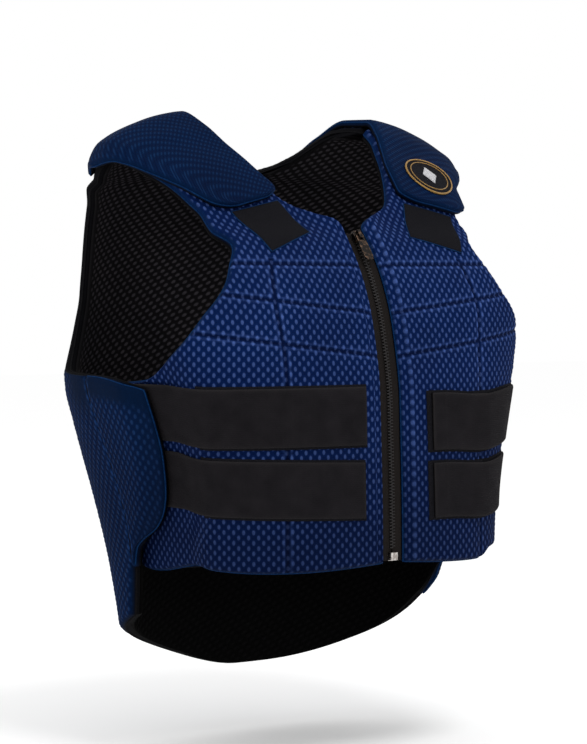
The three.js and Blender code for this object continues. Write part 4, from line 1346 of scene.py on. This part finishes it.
ways = np.linspace(-1, 1, 37)
across, up = np.meshgrid(ways, ways)
points = badge_spot(across * np.sqrt(1 - up**2 / 2), up * np.sqrt(1 - across**2 / 2))
flat = np.full(points.shape[:2], badge_top)
piece = sheet_piece(
    "badge_patch", points, flat, flat - badge_thick, badge_black
)
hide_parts("shoulder_badge")


def badge_loop(share, lift):
    turns = np.linspace(0, 2 * math.pi, 73)[:-1]
    ring = badge_spot(share * np.cos(turns)[None], share * np.sin(turns)[None])
    return (ring + outward(ring) * (badge_top + lift))[0]


for name, share, lift, radius in gold_lines:
    edge_cord(name, badge_loop(share, lift), radius, gold_thread, step=0.0015)
shares = np.linspace(-1, 1, 9)
first, second = np.meshgrid(shares, shares)
points = badge_spot(diamond_half[0] * (first - second), diamond_half[1] * (first + second))
level = np.full(points.shape[:2], badge_top + diamond_lift)
bevelled = rounded_edge(edge_distance(points), 0.0006, 0.001)
piece = padded_piece(
    "badge_diamond", points, level - bevelled, level - diamond_thick, inner_columns=5
)
dressed(piece, pale_thread)

# The studio
# A pale floor far enough below the held up vest, a pale room and soft even light.
floor_gap = 0.06
floor_half = 8.0
floor_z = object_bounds()[0][2] - floor_gap
studio = new_material("studio_pale", (0.985, 0.985, 0.985), 0.95, specular=0.0)[0]
bm = bmesh.new()
bmesh.ops.create_grid(bm, x_segments=1, y_segments=1, size=floor_half)
bmesh.ops.translate(bm, verts=bm.verts, vec=(0, 0, floor_z))
floor_mesh = bpy.data.meshes.new("floor")
bm.to_mesh(floor_mesh)
bm.free()
floor = bpy.data.objects.new("floor", floor_mesh)
floor.data.materials.append(studio)
bpy.context.scene.collection.objects.link(floor)

world = bpy.data.worlds.new("studio_world")
world.use_nodes = True
world.node_tree.nodes["Background"].inputs["Color"].default_value = (1.0, 1.0, 1.0, 1)
world.node_tree.nodes["Background"].inputs["Strength"].default_value = 1.0
bpy.context.scene.world = world
bpy.context.scene.view_settings.view_transform = "Standard"


def area_light(name, place, target, size, power):
    light = bpy.data.lights.new(name, "AREA")
    light.shape = "DISK"
    light.size = size
    light.energy = power
    lamp = bpy.data.objects.new(name, light)
    lamp.location = place
    lamp.rotation_euler = (Vector(target) - Vector(place)).to_track_quat("-Z", "Y").to_euler()
    bpy.context.scene.collection.objects.link(lamp)


light_target = (0, 0, -0.2)
area_light("key", (-0.2, -1.5, 2.0), light_target, size=0.9, power=26)
area_light("side", (-2.0, 0.2, 0.9), light_target, size=0.9, power=5)

azimuth = math.radians(-37)
elevation = math.radians(2)
camera_distance = 2.4
right = Vector((math.cos(azimuth), math.sin(azimuth), 0))
back_way = Vector((
    math.sin(azimuth) * math.cos(elevation),
    -math.cos(azimuth) * math.cos(elevation),
    math.sin(elevation),
))
aim = Vector((0, -0.024, -0.210))
aim_aside = 0.00315
target = aim + right * aim_aside
camera_data = bpy.data.cameras.new("camera")
camera_data.sensor_fit = "VERTICAL"
camera_data.sensor_height = 24
camera_data.lens = 86.0
camera = bpy.data.objects.new("camera", camera_data)
camera.location = target + back_way * camera_distance
camera.rotation_euler = (-back_way).to_track_quat("-Z", "Y").to_euler()
bpy.context.scene.collection.objects.link(camera)
bpy.context.scene.camera = camera
